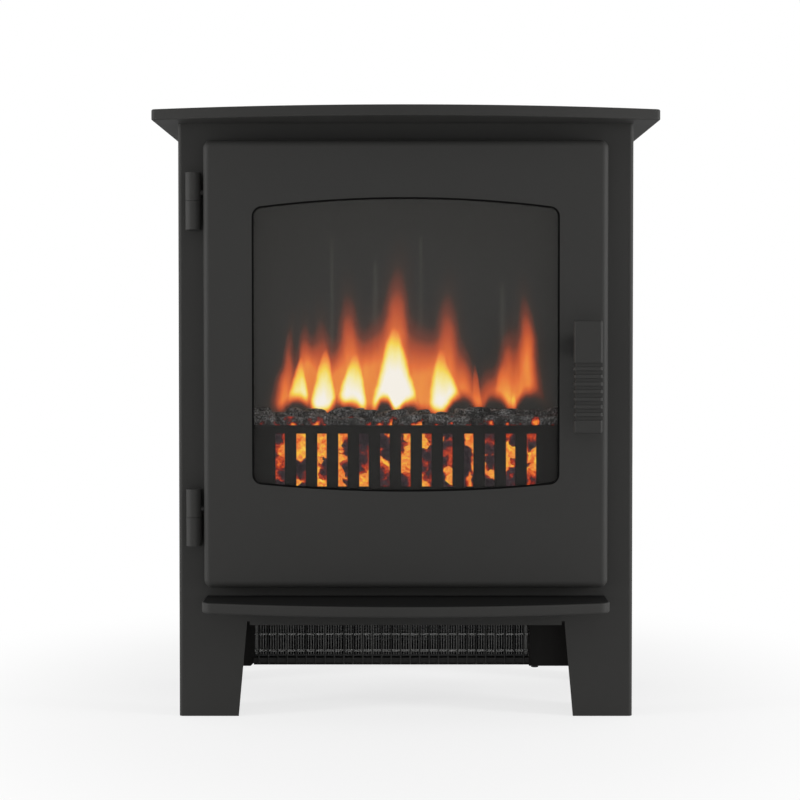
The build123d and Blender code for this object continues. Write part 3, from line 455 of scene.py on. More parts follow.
@dataclass(frozen=True)
class DoorGlass:
    """Flat heat-proof glass with a faint smoke tint that dulls what lies behind it."""

    name: str
    tint: Colour = (0.16, 0.157, 0.15)
    haze: float = 0.07

    def material(self) -> bpy.types.Material:
        """Make the glass's material.

        Returns:
            The material.
        """
        shader = Shader(bpy.data.materials.new(self.name))
        smear = shader.noise(shader.place(), 6.0, detail=4.0)
        return shader.surface(
            base_color=self.tint,
            roughness=0.04 + smear * 0.05,
            specular_ior_level=0.2,
            alpha=self.haze,
        )


class Blaze(Enum):
    """A flame's soft orange veil and its white-hot heart, each with the sharpness of its edge."""

    VEIL = 2.2
    HEART = 4.0


@dataclass(frozen=True)
class Tongue:
    """One tongue of flame, in millimetres on the face of the screen.

    Attributes:
        blaze: the layer that it belongs to.
        foot: x and z of its lower end.
        tip: x and z of its point.
        half: half its width at the foot.
        heat: 1 burns white, a half burns orange.
        bend: how far its middle leans to the right.
    """

    blaze: Blaze
    foot: tuple[float, float]
    tip: tuple[float, float]
    half: float
    heat: float
    bend: float = 0.0

    def over(self, x: Value, z: Value) -> Value:
        """Give the tongue's heat over the screen.

        Args:
            x: place across the screen, in millimetres.
            z: height, in millimetres.

        Returns:
            Heat from 0 outside to the tongue's own in its heart.
        """
        rise = (z - self.foot[1]) / (self.tip[1] - self.foot[1])
        up = rise.at_least(0.0)
        left = (1.0 - rise).at_least(0.0)
        middle = rise * (self.tip[0] - self.foot[0]) + self.foot[0] + up * left * (4.0 * self.bend)
        if self.blaze is Blaze.HEART:
            half = (1.0 - up ** HEART_TAPER).at_least(HEART_TIP) * self.half
            fade = left ** 0.5
        else:
            half = (VEIL_TIP + (left ** VEIL_TAPER) * (1.0 - VEIL_TIP)) * self.half
            fade = left.between(0.0, 0.75) * (VEIL_FADE + left * (1.0 - VEIL_FADE))
        out = abs(x - middle) / half
        edge = out ** self.blaze.value
        return (edge * -1.0).math("EXPONENT") * fade * self.heat


@dataclass(frozen=True)
class Mound:
    """A dark heap that hides the foot of the flames, in millimetres."""

    x: float
    half: float
    rise: float

    def over(self, x: Value) -> Value:
        """Give the mound's height along the screen."""
        across = abs(x - self.x) / self.half
        return (across * across * across * -1.0).math("EXPONENT") * self.rise


@dataclass(frozen=True)
class Streak:
    """A faint upright shine on the screen, in millimetres."""

    x: float
    low: float
    high: float
    half: float
    low_fade: float = 25.0
    high_fade: float = 8.0

    def over(self, x: Value, z: Value) -> Value:
        """Give the shine's strength over the screen.

        Args:
            x: place across the screen, in millimetres.
            z: height, in millimetres.

        Returns:
            Strength from 0 to 1.
        """
        across = 1.0 - abs(x - self.x) / self.half
        foot = z.between(self.low, self.low + self.low_fade)
        head = 1.0 - z.between(self.high - self.high_fade, self.high)
        return across.between(0.0, 1.0) * (foot * head)


@dataclass(frozen=True)
class FlameScreen:
    """Grey translucent screen with the spindle's flame picture, a painted faint grey glow, painted shine
    streaks and a painted shade line at its crease.
    """

    name: str
    tongues: tuple[Tongue, ...]
    mounds: tuple[Mound, ...]
    streaks: tuple[Streak, ...]
    edge: float = 484.0
    # Painted glow: a faint grey that the whole screen gives out, brighter by the shine colour in the streaks.
    glow_grey: Colour = (0.0135, 0.0132, 0.0122)
    shine: Colour = (0.017, 0.016, 0.013)
    paint: Colour = (0.02, 0.02, 0.019)
    wander: float = 7.0
    veil_limit: float = 0.52
    foot: float = 291.0
    foot_blur: tuple[float, float] = (-9.0, 13.0)

    def material(self) -> bpy.types.Material:
        """Make the screen's material.

        Returns:
            The material.
        """
        shader = Shader(bpy.data.materials.new(self.name))
        point = shader.place()
        drift = shader.noise(shader.stretched(point, (1.0, 0.0, 0.6)), 42.0, detail=3.0)
        x = shader.axis(point, "X") * MILLIMETRES
        z = shader.axis(point, "Z") * MILLIMETRES
        warped = x + (drift - 0.5) * self.wander
        veils = [t.over(warped, z) for t in self.tongues if t.blaze is Blaze.VEIL]
        heat = sum(veils[1:], veils[0]).at_most(self.veil_limit)
        for tongue in self.tongues:
            if tongue.blaze is Blaze.HEART:
                heat = heat.at_least(tongue.over(warped, z))
        feet = sum((mound.over(warped) for mound in self.mounds), (drift - 0.5) * self.wander + self.foot)
        heat = heat * (z - feet).between(*self.foot_blur)
        lick = shader.noise(shader.stretched(point, (1.0, 0.0, 0.2)), 90.0, detail=3.0)
        glow = shader.ramp(heat * (0.84 + lick * 0.32), [
            (0.0, (0.0, 0.0, 0.0)), (0.10, (0.014, 0.004, 0.001)), (0.22, (0.13, 0.017, 0.002)),
            (0.34, (0.48, 0.060, 0.006)), (0.46, (0.82, 0.15, 0.016)), (0.58, (0.95, 0.34, 0.04)),
            (0.70, (1.0, 0.70, 0.06)), (0.82, (1.0, 0.87, 0.34)), (1.0, (1.0, 0.95, 0.86)),
        ])
        shine = self.streaks[0].over(x, z)
        for streak in self.streaks[1:]:
            shine = shine + streak.over(x, z)
        grain = shader.noise(shader.stretched(point, (1.0, 1.0, 0.12)), 160.0, detail=2.0)
        # Painted glow over the whole screen, brighter in the painted streaks of shine.
        pale = tuple(g + s for g, s in zip(self.glow_grey, self.shine))
        lit = shader.mix(shine.at_most(1.0), self.glow_grey, pale)
        # Painted shade: the glow dims along a thin line at the screen's crease.
        crease_shade = 1.0 - abs(z - self.edge).between(0.3, 1.4)
        lit = shader.mix(crease_shade * 0.35, lit, (0.0, 0.0, 0.0))
        return shader.surface(
            base_color=shader.mix(grain, self.paint, tuple(c * 0.8 for c in self.paint)),
            roughness=0.55 + grain * 0.15,
            specular_ior_level=0.1,
            emission_color=shader.mix(1.0, glow, lit, "ADD"),
            emission_strength=1.0,
        )


@dataclass(frozen=True)
class EmberBed:
    """Moulded ember bed: dark crusts with red rims over hollows that glow orange."""

    name: str
    top: float
    crust: Colour = (0.020, 0.012, 0.014)
    cold_scale: float = 34.0
    lump_scale: float = 72.0
    fine_scale: float = 420.0

    def material(self) -> bpy.types.Material:
        """Make the bed's material.

        Returns:
            The material.
        """
        shader = Shader(bpy.data.materials.new(self.name))
        point = shader.warped(shader.place(), 90.0, 0.014)
        lump = shader.cells(point, self.lump_scale)
        chance = shader.axis(lump.out("Color"), "X")
        flake = shader.noise(point, self.fine_scale, detail=4.0, roughness=0.65)
        patch = shader.noise(point, 190.0, detail=2.0)
        rim = lump.between(0.22, 0.66)
        dark = 0.05 + rim * 0.34 + (flake - 0.5) * 0.75
        bright = 0.62 + (patch - 0.5) * 0.85 + (flake - 0.5) * 0.25
        share = chance.between(0.54, 0.62)
        heat = dark + (bright - dark) * share
        # Painted shade: the glow fades out towards the grate's top, where the coals lie over the bed.
        under = 1.0 - shader.axis(shader.place(), "Z").between(self.top - 0.0095, self.top - 0.005)
        cold = shader.noise(point, self.cold_scale, detail=1.0).between(0.56, 0.63) * 0.85
        glow = shader.ramp(heat * under * (1.0 - cold), [
            (0.06, (0.006, 0.003, 0.005)), (0.13, (0.045, 0.022, 0.030)), (0.17, (0.022, 0.007, 0.009)),
            (0.26, (0.10, 0.006, 0.005)), (0.38, (0.42, 0.022, 0.003)),
            (0.50, (0.84, 0.13, 0.008)), (0.62, (0.90, 0.30, 0.045)), (0.76, (1.0, 0.56, 0.03)),
            (0.92, (1.0, 0.84, 0.25)),
        ])
        return shader.surface(
            base_color=shader.mix(flake, self.crust, (0.06, 0.036, 0.045)),
            roughness=0.7 + flake * 0.2,
            specular_ior_level=0.15,
            emission_color=glow,
            emission_strength=1.0,
            normal=shader.bump(flake, 0.5, 0.0008),
        )


@dataclass(frozen=True)
class Charcoal:
    """Ashy charcoal: black inside, pale fibres on its skin, red light in a few low cracks."""

    name: str
    low: float
    high: float
    ash: Colour = (0.46, 0.455, 0.45)
    black: Colour = (0.030, 0.029, 0.028)

    def material(self) -> bpy.types.Material:
        """Make the coal's material.

        Returns:
            The material.
        """
        shader = Shader(bpy.data.materials.new(self.name))
        point = shader.place()
        rise = shader.axis(point, "Z").between(self.low, self.high)
        fibre = shader.noise(shader.warped(point, 500.0, 0.0016), 560.0, detail=3.0, roughness=0.7)
        patch = shader.noise(point, 85.0, detail=3.0)
        # Painted light: red glow from the bed below, strongest on the coals' low parts, where the patches
        # pick.
        heat = (1.0 - rise * 0.65) * ((patch - 0.5) * 2.6 + 0.50 + fibre * 0.1)
        ashes = (fibre + (patch - 0.5) * 0.70).between(0.40, 0.76) * (1.0 - heat.between(0.45, 0.6))
        glow = shader.ramp(heat, [
            (0.58, (0.0, 0.0, 0.0)), (0.66, (0.12, 0.004, 0.002)), (0.76, (0.60, 0.035, 0.004)),
            (0.90, (0.95, 0.28, 0.02)),
        ])
        return shader.surface(
            base_color=shader.mix(ashes, self.black, self.ash),
            roughness=0.85 + fibre * 0.1,
            specular_ior_level=0.1,
            emission_color=glow,
            emission_strength=1.0,
            normal=shader.bump(fibre, 0.9, 0.0016),
        )


@dataclass(frozen=True)
class LampBoard:
    """Green lacquered circuit board with paler tracks."""

    name: str
    lacquer: Colour = (0.012, 0.10, 0.035)

    def material(self) -> bpy.types.Material:
        """Make the board's material.

        Returns:
            The material.
        """
        shader = Shader(bpy.data.materials.new(self.name))
        point = shader.place()
        tracks = shader.cells(shader.stretched(point, (1.0, 0.4, 0.4)), 220.0, "DISTANCE_TO_EDGE")
        tone = shader.mix(tracks.between(0.04, 0.10), (0.03, 0.17, 0.06), self.lacquer)
        return shader.surface(base_color=tone, roughness=0.32 + tracks * 0.1)


class Finish(Enum):
    """The finishes that the stove's pieces take."""

    CHARCOAL_PAINT = PowderCoat("charcoal_paint", (0.0275, 0.0272, 0.026))
    # The hearth's paint, with painted shade on its top face.
    HEARTH_SHADED_TOP_PAINT = PowderCoat("hearth_shaded_top_paint", (0.0275, 0.0272, 0.026), top_shade_share=0.15)
    BLACK_PAINT = PowderCoat("black_paint", (0.011, 0.0105, 0.010), roughness=0.7, specular=0.1)
    ZINC_SHEET = Metal("zinc_sheet", (0.56, 0.57, 0.58), 0.42, (1.0, 1.0, 1.0), spots=0.5)
    BRIGHT_STEEL = Metal("bright_steel", (0.60, 0.59, 0.57), 0.28, (1.0, 1.0, 12.0))
    BLACK_SCREW = PowderCoat("black_screw", (0.016, 0.016, 0.016), roughness=0.45, specular=0.3)
    CLEAR_GLASS = DoorGlass("clear_glass")
    BLACK_PLASTIC = Moulding("black_plastic", (0.018, 0.018, 0.018), 0.5)
    ROCKER_PLASTIC = Moulding("rocker_plastic", (0.03, 0.03, 0.031), 0.3)
    WHITE_PLASTIC = Moulding("white_plastic", (0.72, 0.71, 0.68), 0.4)
    GASKET_RUBBER = Moulding("gasket_rubber", (0.003, 0.003, 0.003), 0.9, specular=0.05)
    GRATE_PAINT = PowderCoat("grate_paint", (0.004, 0.0039, 0.0037), roughness=0.85, specular=0.02)
    BEARING_BRASS = Metal("bearing_brass", (0.72, 0.50, 0.22), 0.3, (14.0, 1.0, 1.0))
    FIN_ALUMINIUM = Metal("fin_aluminium", (0.045, 0.045, 0.047), 0.5, (1.0, 1.0, 6.0))
    BOARD_GREEN = LampBoard("board_green")


class Wardrobe:
    """Makes each finish's material once and puts it on pieces."""

    def __init__(self) -> None:
        """Start with no material made."""
        self._made: dict[str, bpy.types.Material] = {}

    def material(self, recipe: object) -> bpy.types.Material:
        """Give the material of a finish, made on first use.

        Args:
            recipe: the finish.

        Returns:
            Its material.
        """
        if recipe.name not in self._made:
            self._made[recipe.name] = recipe.material()
        return self._made[recipe.name]

    def dress(self, recipe: object, *names: str) -> None:
        """Put a finish on nodes of the frame.

        Args:
            recipe: the finish.
            names: the nodes.
        """
        for name in names:
            put_on(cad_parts[name], self.material(recipe))
            LOG.info("dressed %s in %s", name, recipe.name)


def put_on(piece: bpy.types.Object, material: bpy.types.Material) -> None:
    """Fill a piece's material slots with one material.

    Args:
        piece: the piece.
        material: what it wears.
    """
    if not piece.material_slots:
        piece.data.materials.append(material)
    for slot in piece.material_slots:
        slot.material = material


def new_piece(name: str, mesh: bmesh.types.BMesh, body: str) -> bpy.types.Object:
    """Turn a finished bmesh into a smooth piece that rides on a body.

    Args:
        name: the piece's name.
        mesh: its faces; freed here.
        body: the body that carries it.

    Returns:
        The piece.
    """
    data = bpy.data.meshes.new(name)
    mesh.to_mesh(data)
    mesh.free()
    data.polygons.foreach_set("use_smooth", [True] * len(data.polygons))
    piece = bpy.data.objects.new(name, data)
    bpy.context.scene.collection.objects.link(piece)
    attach(piece, body)
    LOG.info("made %s with %d faces on %s", name, len(data.polygons), body)
    return piece


def add_lump(mesh: bmesh.types.BMesh, rng: random.Random, centre: Vector, size: Vector, swing: float) -> None:
    """Add one broken lump to a bmesh.

    Args:
        mesh: the mesh that takes it.
        rng: the seeded random numbers.
        centre: its middle.
        size: its half sizes before it is turned.
        swing: the most that it is turned either way.
    """
    ball = bmesh.ops.create_icosphere(mesh, subdivisions=4, radius=1.0)["verts"]
    seed = Vector([rng.uniform(-50, 50) for _ in range(3)])
    roll = Matrix.Rotation(rng.uniform(-swing, swing) / 2, 3, "Y")
    turn = roll @ Matrix.Rotation(rng.uniform(-swing, swing), 3, "Z")
    for vert in ball:
        way = vert.co.normalized()
        block = Vector(math.copysign(abs(c) ** 0.5, c) for c in way)
        place = Vector(b * s for b, s in zip(block, size))
        dent = LUMP_DENT * noise.fractal(place * LUMP_SCALE + seed, 0.9, 2.1, 3)
        dent += CHIP_DENT * noise.noise(place * CHIP_SCALE + seed)
        vert.co = centre + turn @ (place * (1.0 + dent))


@dataclass
class Casing:
    """Top plate, hearth, panels and legs."""

    def dress(self, wardrobe: Wardrobe) -> None:
        """Paint the sheets and plate the fixings.

        Args:
            wardrobe: where the materials come from.
        """
        wardrobe.dress(Finish.CHARCOAL_PAINT.value, "top_plate", "front_panel", "left_side_panel",
                       "right_side_panel", "back_panel", "body_hinge_knuckles", "hinge_pins")
        # The hearth plate's top face gets painted shade.
        wardrobe.dress(Finish.HEARTH_SHADED_TOP_PAINT.value, "hearth_plate")
        wardrobe.dress(Finish.BLACK_PAINT.value, "body_roof", "base_pan")
        wardrobe.dress(Finish.BLACK_SCREW.value, "casing_screws", "back_panel_screws", "hearth_screws",
                       "sheet_screws")
        wardrobe.dress(Finish.BLACK_PLASTIC.value, "cable_gland")
        wardrobe.dress(Finish.WHITE_PLASTIC.value, "terminal_block")
        wardrobe.dress(Finish.ZINC_SHEET.value, "magnet_catch")


@dataclass
class Door:
    """Door casting with its glass, frame and lever handle.

    Attributes:
        reach: half size of a box that holds the window but not the handle.
        seal: the seal's section, each point's inset from the window's edge and depth.
    """

    reach: float = 0.16
    seal: tuple[tuple[float, float], ...] = (
        (0.0, 0.0009), (0.0, 0.0004), (0.0005, 0.0002), (0.0012, 0.0002), (0.0017, 0.0005), (0.0018, 0.0012),
    )

    def build(self, wardrobe: Wardrobe) -> None:
        """Lay the black seal between the glass and the casting.

        Args:
            wardrobe: where the materials come from.
        """
        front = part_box("door_casting")[0].y
        low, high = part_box("door_glass")
        middle = (low.z + high.z) / 2
        edge = {
            (round(v.co.x, 6), round(v.co.z, 6))
            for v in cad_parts["door_casting"].data.vertices
            if abs(v.co.y - front) < 1e-5 and abs(v.co.x) < self.reach and abs(v.co.z - middle) < self.reach
        }
        loop = [Vector(p) for p in sorted(edge, key=lambda p: math.atan2(p[1] - middle, p[0]))]
        mesh = bmesh.new()
        rows = []
        for index, here in enumerate(loop):
            ahead, behind = loop[(index + 1) % len(loop)], loop[index - 1]
            along = ((ahead - here).normalized() + (here - behind).normalized()).normalized()
            inward = Vector((-along.y, along.x))
            spots = [here + inward * inset for inset, _ in self.seal]
            rows.append([mesh.verts.new((s.x, front + d, s.y)) for s, (_, d) in zip(spots, self.seal)])
        for index, row in enumerate(rows):
            other = rows[(index + 1) % len(rows)]
            for here in range(len(row) - 1):
                mesh.faces.new((row[here], row[here + 1], other[here + 1], other[here]))
        bmesh.ops.recalc_face_normals(mesh, faces=mesh.faces)
        seal = new_piece("glass_seal", mesh, "door")
        put_on(seal, wardrobe.material(Finish.GASKET_RUBBER.value))

    def dress(self, wardrobe: Wardrobe) -> None:
        """Paint the castings and clear the glass.

        Args:
            wardrobe: where the materials come from.
        """
        wardrobe.dress(Finish.CHARCOAL_PAINT.value, "door_casting", "door_hinge_knuckles", "door_handle")
        wardrobe.dress(Finish.CLEAR_GLASS.value, "door_glass")
        wardrobe.dress(Finish.GASKET_RUBBER.value, "glass_gasket")
        wardrobe.dress(Finish.BLACK_PAINT.value, "glass_retainer", "latch_arm")
        wardrobe.dress(Finish.BLACK_SCREW.value, "retainer_screws", "spindle_nut")
        wardrobe.dress(Finish.BRIGHT_STEEL.value, "handle_spindle")


@dataclass
class Controls:
    """Switch plate behind the door's foot."""

    def dress(self, wardrobe: Wardrobe) -> None:
        """Finish the plate and its rockers.

        Args:
            wardrobe: where the materials come from.
        """
        wardrobe.dress(Finish.BLACK_PAINT.value, "control_plate")
        wardrobe.dress(Finish.BLACK_PLASTIC.value, "switch_bodies")
        wardrobe.dress(Finish.ROCKER_PLASTIC.value, "light_rocker", "low_heat_rocker", "high_heat_rocker")


@dataclass
class Heater:
    """Fan heater under the body.

    Attributes:
        tie_levels: heights of the guard's level wires.
        wire_depth: how far behind the uprights' front the level wires start.
    """

    tie_levels: tuple[float, float] = (0.0581, 0.0745)
    wire_depth: float = 0.0013

    def dress(self, wardrobe: Wardrobe) -> None:
        """Finish the blower, its element and its guard.

        Args:
            wardrobe: where the materials come from.
        """
        wardrobe.dress(Finish.ZINC_SHEET.value, "fan_scroll", "thermal_cutout")
        wardrobe.dress(Finish.BLACK_PAINT.value, "heater_left_plate", "heater_right_plate", "motor_cover",
                       "outlet_tongue")
        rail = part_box("outlet_guard")[0]
        wires = WireGuard("guard_wire", self.tie_levels, rail.y + self.wire_depth)
        wardrobe.dress(wires, "outlet_guard")
        low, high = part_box("heating_element")
        wardrobe.dress(FinPack("element_fins", low.z, high.z), "heating_element")
        wardrobe.dress(Finish.FIN_ALUMINIUM.value, "fan_rotor")
        wardrobe.dress(Finish.BEARING_BRASS.value, "fan_bush")
        wardrobe.dress(Finish.BLACK_SCREW.value, "cover_bolts")
        wardrobe.dress(Finish.BRIGHT_STEEL.value, "fan_motor")


@dataclass(frozen=True)
class CoalRow:
    """One row of coals across the bed.

    Attributes:
        y: the row's middle, front to back.
        z: the middle height of its lumps.
        count: how many lumps it has.
        half: the lumps' half sizes.
        swing: the most that a lump is turned.
    """

    y: float
    z: float
    count: int
    half: tuple[float, float, float]
    swing: float


@dataclass
class Firebox:
    """Grate, glowing bed, coals and the flame picture behind them.

    Attributes:
        tongues: the flames on the screen and the haze between them, from left to right.
        mounds: the dark heaps at the flames' feet.
        streaks: faint shines above the flames.
        bed_step: spacing of the bed's skin.
        bed_dent: depth of the bed's hollows.
        bed_nose: run and drop of its front edge, and the run of the slope behind.
        bed_hollows: cells per metre of the hollows.
        bed_grit: depth and scale of its grit.
        coal_rows: the rows of coals, from the front.
        coal_size: the least and most that a lump's size is scaled by.
        coal_lift: the least and most that it is lifted.
        coal_step: the most that it stands before or behind its row.
        coal_drift: the most that it leaves its place, in pitches.
        seed: starts the random numbers.
    """

    tongues: tuple[Tongue, ...] = (
        Tongue(Blaze.VEIL, (-130.5, 308.0), (-129.4, 352.0), 9.0, 0.20),
        Tongue(Blaze.VEIL, (-122.5, 298.0), (-114.5, 410.0), 9.0, 0.40, -1.5),
        Tongue(Blaze.VEIL, (-106.4, 300.0), (-105.0, 412.0), 11.5, 0.48, 1.5),
        Tongue(Blaze.HEART, (-110.1, 302.0), (-106.5, 356.0), 12.2, 0.98),
        Tongue(Blaze.VEIL, (-96.0, 296.0), (-96.0, 382.0), 10.0, 0.24),
        Tongue(Blaze.VEIL, (-85.1, 288.0), (-87.5, 422.0), 18.0, 0.48),
        Tongue(Blaze.HEART, (-85.1, 288.0), (-82.0, 362.0), 16.4, 1.14),
        Tongue(Blaze.VEIL, (-70.5, 292.0), (-70.0, 376.0), 11.0, 0.24),
        Tongue(Blaze.VEIL, (-56.8, 295.0), (-61.0, 450.0), 19.5, 0.55, 1.5),
        Tongue(Blaze.HEART, (-55.8, 296.0), (-51.0, 362.0), 17.4, 1.18),
        Tongue(Blaze.VEIL, (-36.0, 284.0), (-33.5, 420.0), 18.0, 0.42),
        Tongue(Blaze.VEIL, (-11.2, 288.0), (-4.5, 486.0), 24.5, 0.60, -2.0),
        Tongue(Blaze.HEART, (-11.4, 288.0), (-12.0, 390.0), 25.5, 1.34),
        Tongue(Blaze.VEIL, (19.0, 282.0), (15.5, 416.0), 21.0, 0.44),
        Tongue(Blaze.VEIL, (43.0, 288.0), (46.0, 454.0), 22.0, 0.54, -2.5),
        Tongue(Blaze.HEART, (44.5, 286.0), (36.5, 366.0), 20.8, 1.18, -3.0),
        Tongue(Blaze.VEIL, (66.5, 286.0), (60.0, 380.0), 15.0, 0.34),
        Tongue(Blaze.HEART, (75.0, 288.0), (71.5, 344.0), 7.0, 0.60, -1.5),
        Tongue(Blaze.VEIL, (85.0, 288.0), (82.0, 360.0), 13.0, 0.28),
        Tongue(Blaze.VEIL, (101.0, 296.0), (110.5, 408.0), 16.0, 0.44, -2.0),
        Tongue(Blaze.HEART, (100.5, 300.0), (105.0, 360.0), 13.0, 0.64, -1.5),
        Tongue(Blaze.VEIL, (124.0, 303.0), (117.5, 446.0), 15.0, 0.54, 3.0),
        Tongue(Blaze.HEART, (124.0, 306.0), (121.0, 358.0), 10.5, 0.58, 1.0),
        Tongue(Blaze.HEART, (111.8, 292.0), (107.5, 326.0), 4.6, 0.80),
    )
    mounds: tuple[Mound, ...] = (
        Mound(-110.5, 12.0, 12.5),
        Mound(-71.0, 6.0, 7.0),
        Mound(-57.0, 11.0, 9.5),
        Mound(-21.0, 8.0, 13.0),
        Mound(3.0, 9.0, 10.5),
        Mound(56.0, 13.5, 15.5),
        Mound(92.0, 12.0, 14.0),
        Mound(128.0, 14.0, 18.0),
    )
    streaks: tuple[Streak, ...] = (
        Streak(-75.6, 345.0, 476.0, 3.2),
        Streak(-31.3, 370.0, 450.0, 4.5),
        Streak(15.2, 365.0, 476.0, 3.2),
        Streak(98.7, 350.0, 428.0, 4.5),
    )
    bed_step: float = 0.0016
    bed_dent: float = 0.0055
    bed_nose: tuple[float, float, float] = (0.004, 0.006, 0.024)
    bed_hollows: float = 62.0
    bed_grit: tuple[float, float] = (0.0012, 320.0)
    coal_rows: tuple[CoalRow, ...] = (
        CoalRow(-0.0335, 0.2855, 11, (0.0150, 0.0075, 0.0072), 0.25),
        CoalRow(-0.0270, 0.2820, 20, (0.0085, 0.0085, 0.0080), 0.7),
        CoalRow(-0.0130, 0.2882, 12, (0.0140, 0.0085, 0.0080), 0.3),
        CoalRow(0.0040, 0.2885, 17, (0.0105, 0.0090, 0.0080), 0.7),
    )
    coal_size: tuple[float, float] = (0.68, 1.08)
    coal_lift: tuple[float, float] = (-0.0024, 0.0030)
    coal_step: float = 0.0012
    coal_drift: float = 0.25
    seed: int = 23

    def dress(self, wardrobe: Wardrobe) -> None:
        """Finish the pieces that keep their own shape.

        Args:
            wardrobe: where the materials come from.
        """
        wardrobe.dress(Finish.BLACK_PAINT.value, "left_cheek", "right_cheek", "firebox_floor", "firebox_roof",
                       "flame_mask", "screen_channels")
        wardrobe.dress(Finish.GRATE_PAINT.value, "grate")
        picture = FlameScreen("screen_glass", self.tongues, self.mounds, self.streaks)
        wardrobe.dress(picture, "flame_screen")
        wardrobe.dress(Finish.BLACK_SCREW.value, "grate_screws")
        wardrobe.dress(Finish.BRIGHT_STEEL.value, "flicker_spindle")
        wardrobe.dress(Finish.BEARING_BRASS.value, "spindle_bush")
        wardrobe.dress(Finish.BLACK_PLASTIC.value, "flicker_motor")
        wardrobe.dress(Finish.BOARD_GREEN.value, "ember_lamp_board", "flame_lamp_board")

    def build(self, wardrobe: Wardrobe) -> None:
        """Make the bed and the coals, which replace their plain solids.

        Args:
            wardrobe: where the materials come from.
        """
        bed = self._bed()
        put_on(bed, wardrobe.material(EmberBed("ember_plastic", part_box("grate")[1].z)))
        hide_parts("fuel_bed")
        coals = self._coals()
        low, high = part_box("coals")
        put_on(coals, wardrobe.material(Charcoal("charcoal_lump", low.z - 0.002, high.z)))
        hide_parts("coals")

    def _bed(self) -> bpy.types.Object:
        """Make the moulded bed: its section drawn along X with a dented skin.

        Returns:
            The bed.
        """
        low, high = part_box("fuel_bed")
        nose, drop, slope = self.bed_nose
        section = [Vector((0, low.y, low.z)), Vector((0, low.y + nose, high.z - drop)),
                   Vector((0, low.y + slope, high.z)), Vector((0, high.y, high.z)),
                   Vector((0, high.y, low.z))]
        ring = []
        for start, end in zip(section, section[1:] + section[:1]):
            steps = max(1, round((end - start).length / self.bed_step))
            ring += [start.lerp(end, step / steps) for step in range(steps)]
        middle = sum(section, Vector()) / len(section)
        count = round((high.x - low.x) / self.bed_step)
        mesh = bmesh.new()
        rows = []
        for index in range(count + 1):
            x = low.x + (high.x - low.x) * index / count
            rows.append([mesh.verts.new(self._dented(Vector((x, p.y, p.z)), middle, low.z)) for p in ring])
        for first, second in zip(rows, rows[1:]):
            for here in range(len(ring)):
                there = (here + 1) % len(ring)
                mesh.faces.new((first[here], second[here], second[there], first[there]))
        mesh.faces.new(rows[0][::-1])
        mesh.faces.new(rows[-1])
        bmesh.ops.recalc_face_normals(mesh, faces=mesh.faces)
        return new_piece("ember_bed", mesh, "casing")

    def _dented(self, point: Vector, middle: Vector, floor: float) -> Vector:
        """Push a point of the bed's skin inwards where its hollows are.

        Args:
            point: the point on the plain section.
            middle: the section's middle, towards which it is pushed.
            floor: the bed's foot, which stays flat.

        Returns:
            The moved point.
        """
        if point.z <= floor:
            return point
        cell = noise.voronoi(point * self.bed_hollows)[0]
        depth = min(1.0, 1.6 * (cell[1] - cell[0]))
        grit, scale = self.bed_grit
        dent = self.bed_dent * (1.0 - depth ** 0.5) + grit * (noise.noise(point * scale) + 0.6)
        way = Vector((0, middle.y - point.y, middle.z - point.z)).normalized()
        return point + way * max(0.0, dent)

    def _coals(self) -> bpy.types.Object:
        """Make the loose coals, in overlapping rows across the bed.

        Returns:
            The coals, as one piece.
        """
        rng = random.Random(self.seed)
        low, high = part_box("fuel_bed")
        mesh = bmesh.new()
        for row in self.coal_rows:
            pitch = (high.x - low.x - 2 * row.half[0]) / (row.count - 1)
            for index in range(row.count):
                size = Vector(half * rng.uniform(*self.coal_size) for half in row.half)
                inner = 0 < index < row.count - 1
                drift = inner * rng.uniform(-self.coal_drift, self.coal_drift)
                x = low.x + row.half[0] + pitch * index + drift * pitch
                y = row.y + rng.uniform(-self.coal_step, self.coal_step)
                centre = Vector((x, y, row.z + rng.uniform(*self.coal_lift)))
                add_lump(mesh, rng, centre, size, row.swing)
        return new_piece("coal_lumps", mesh, "casing")


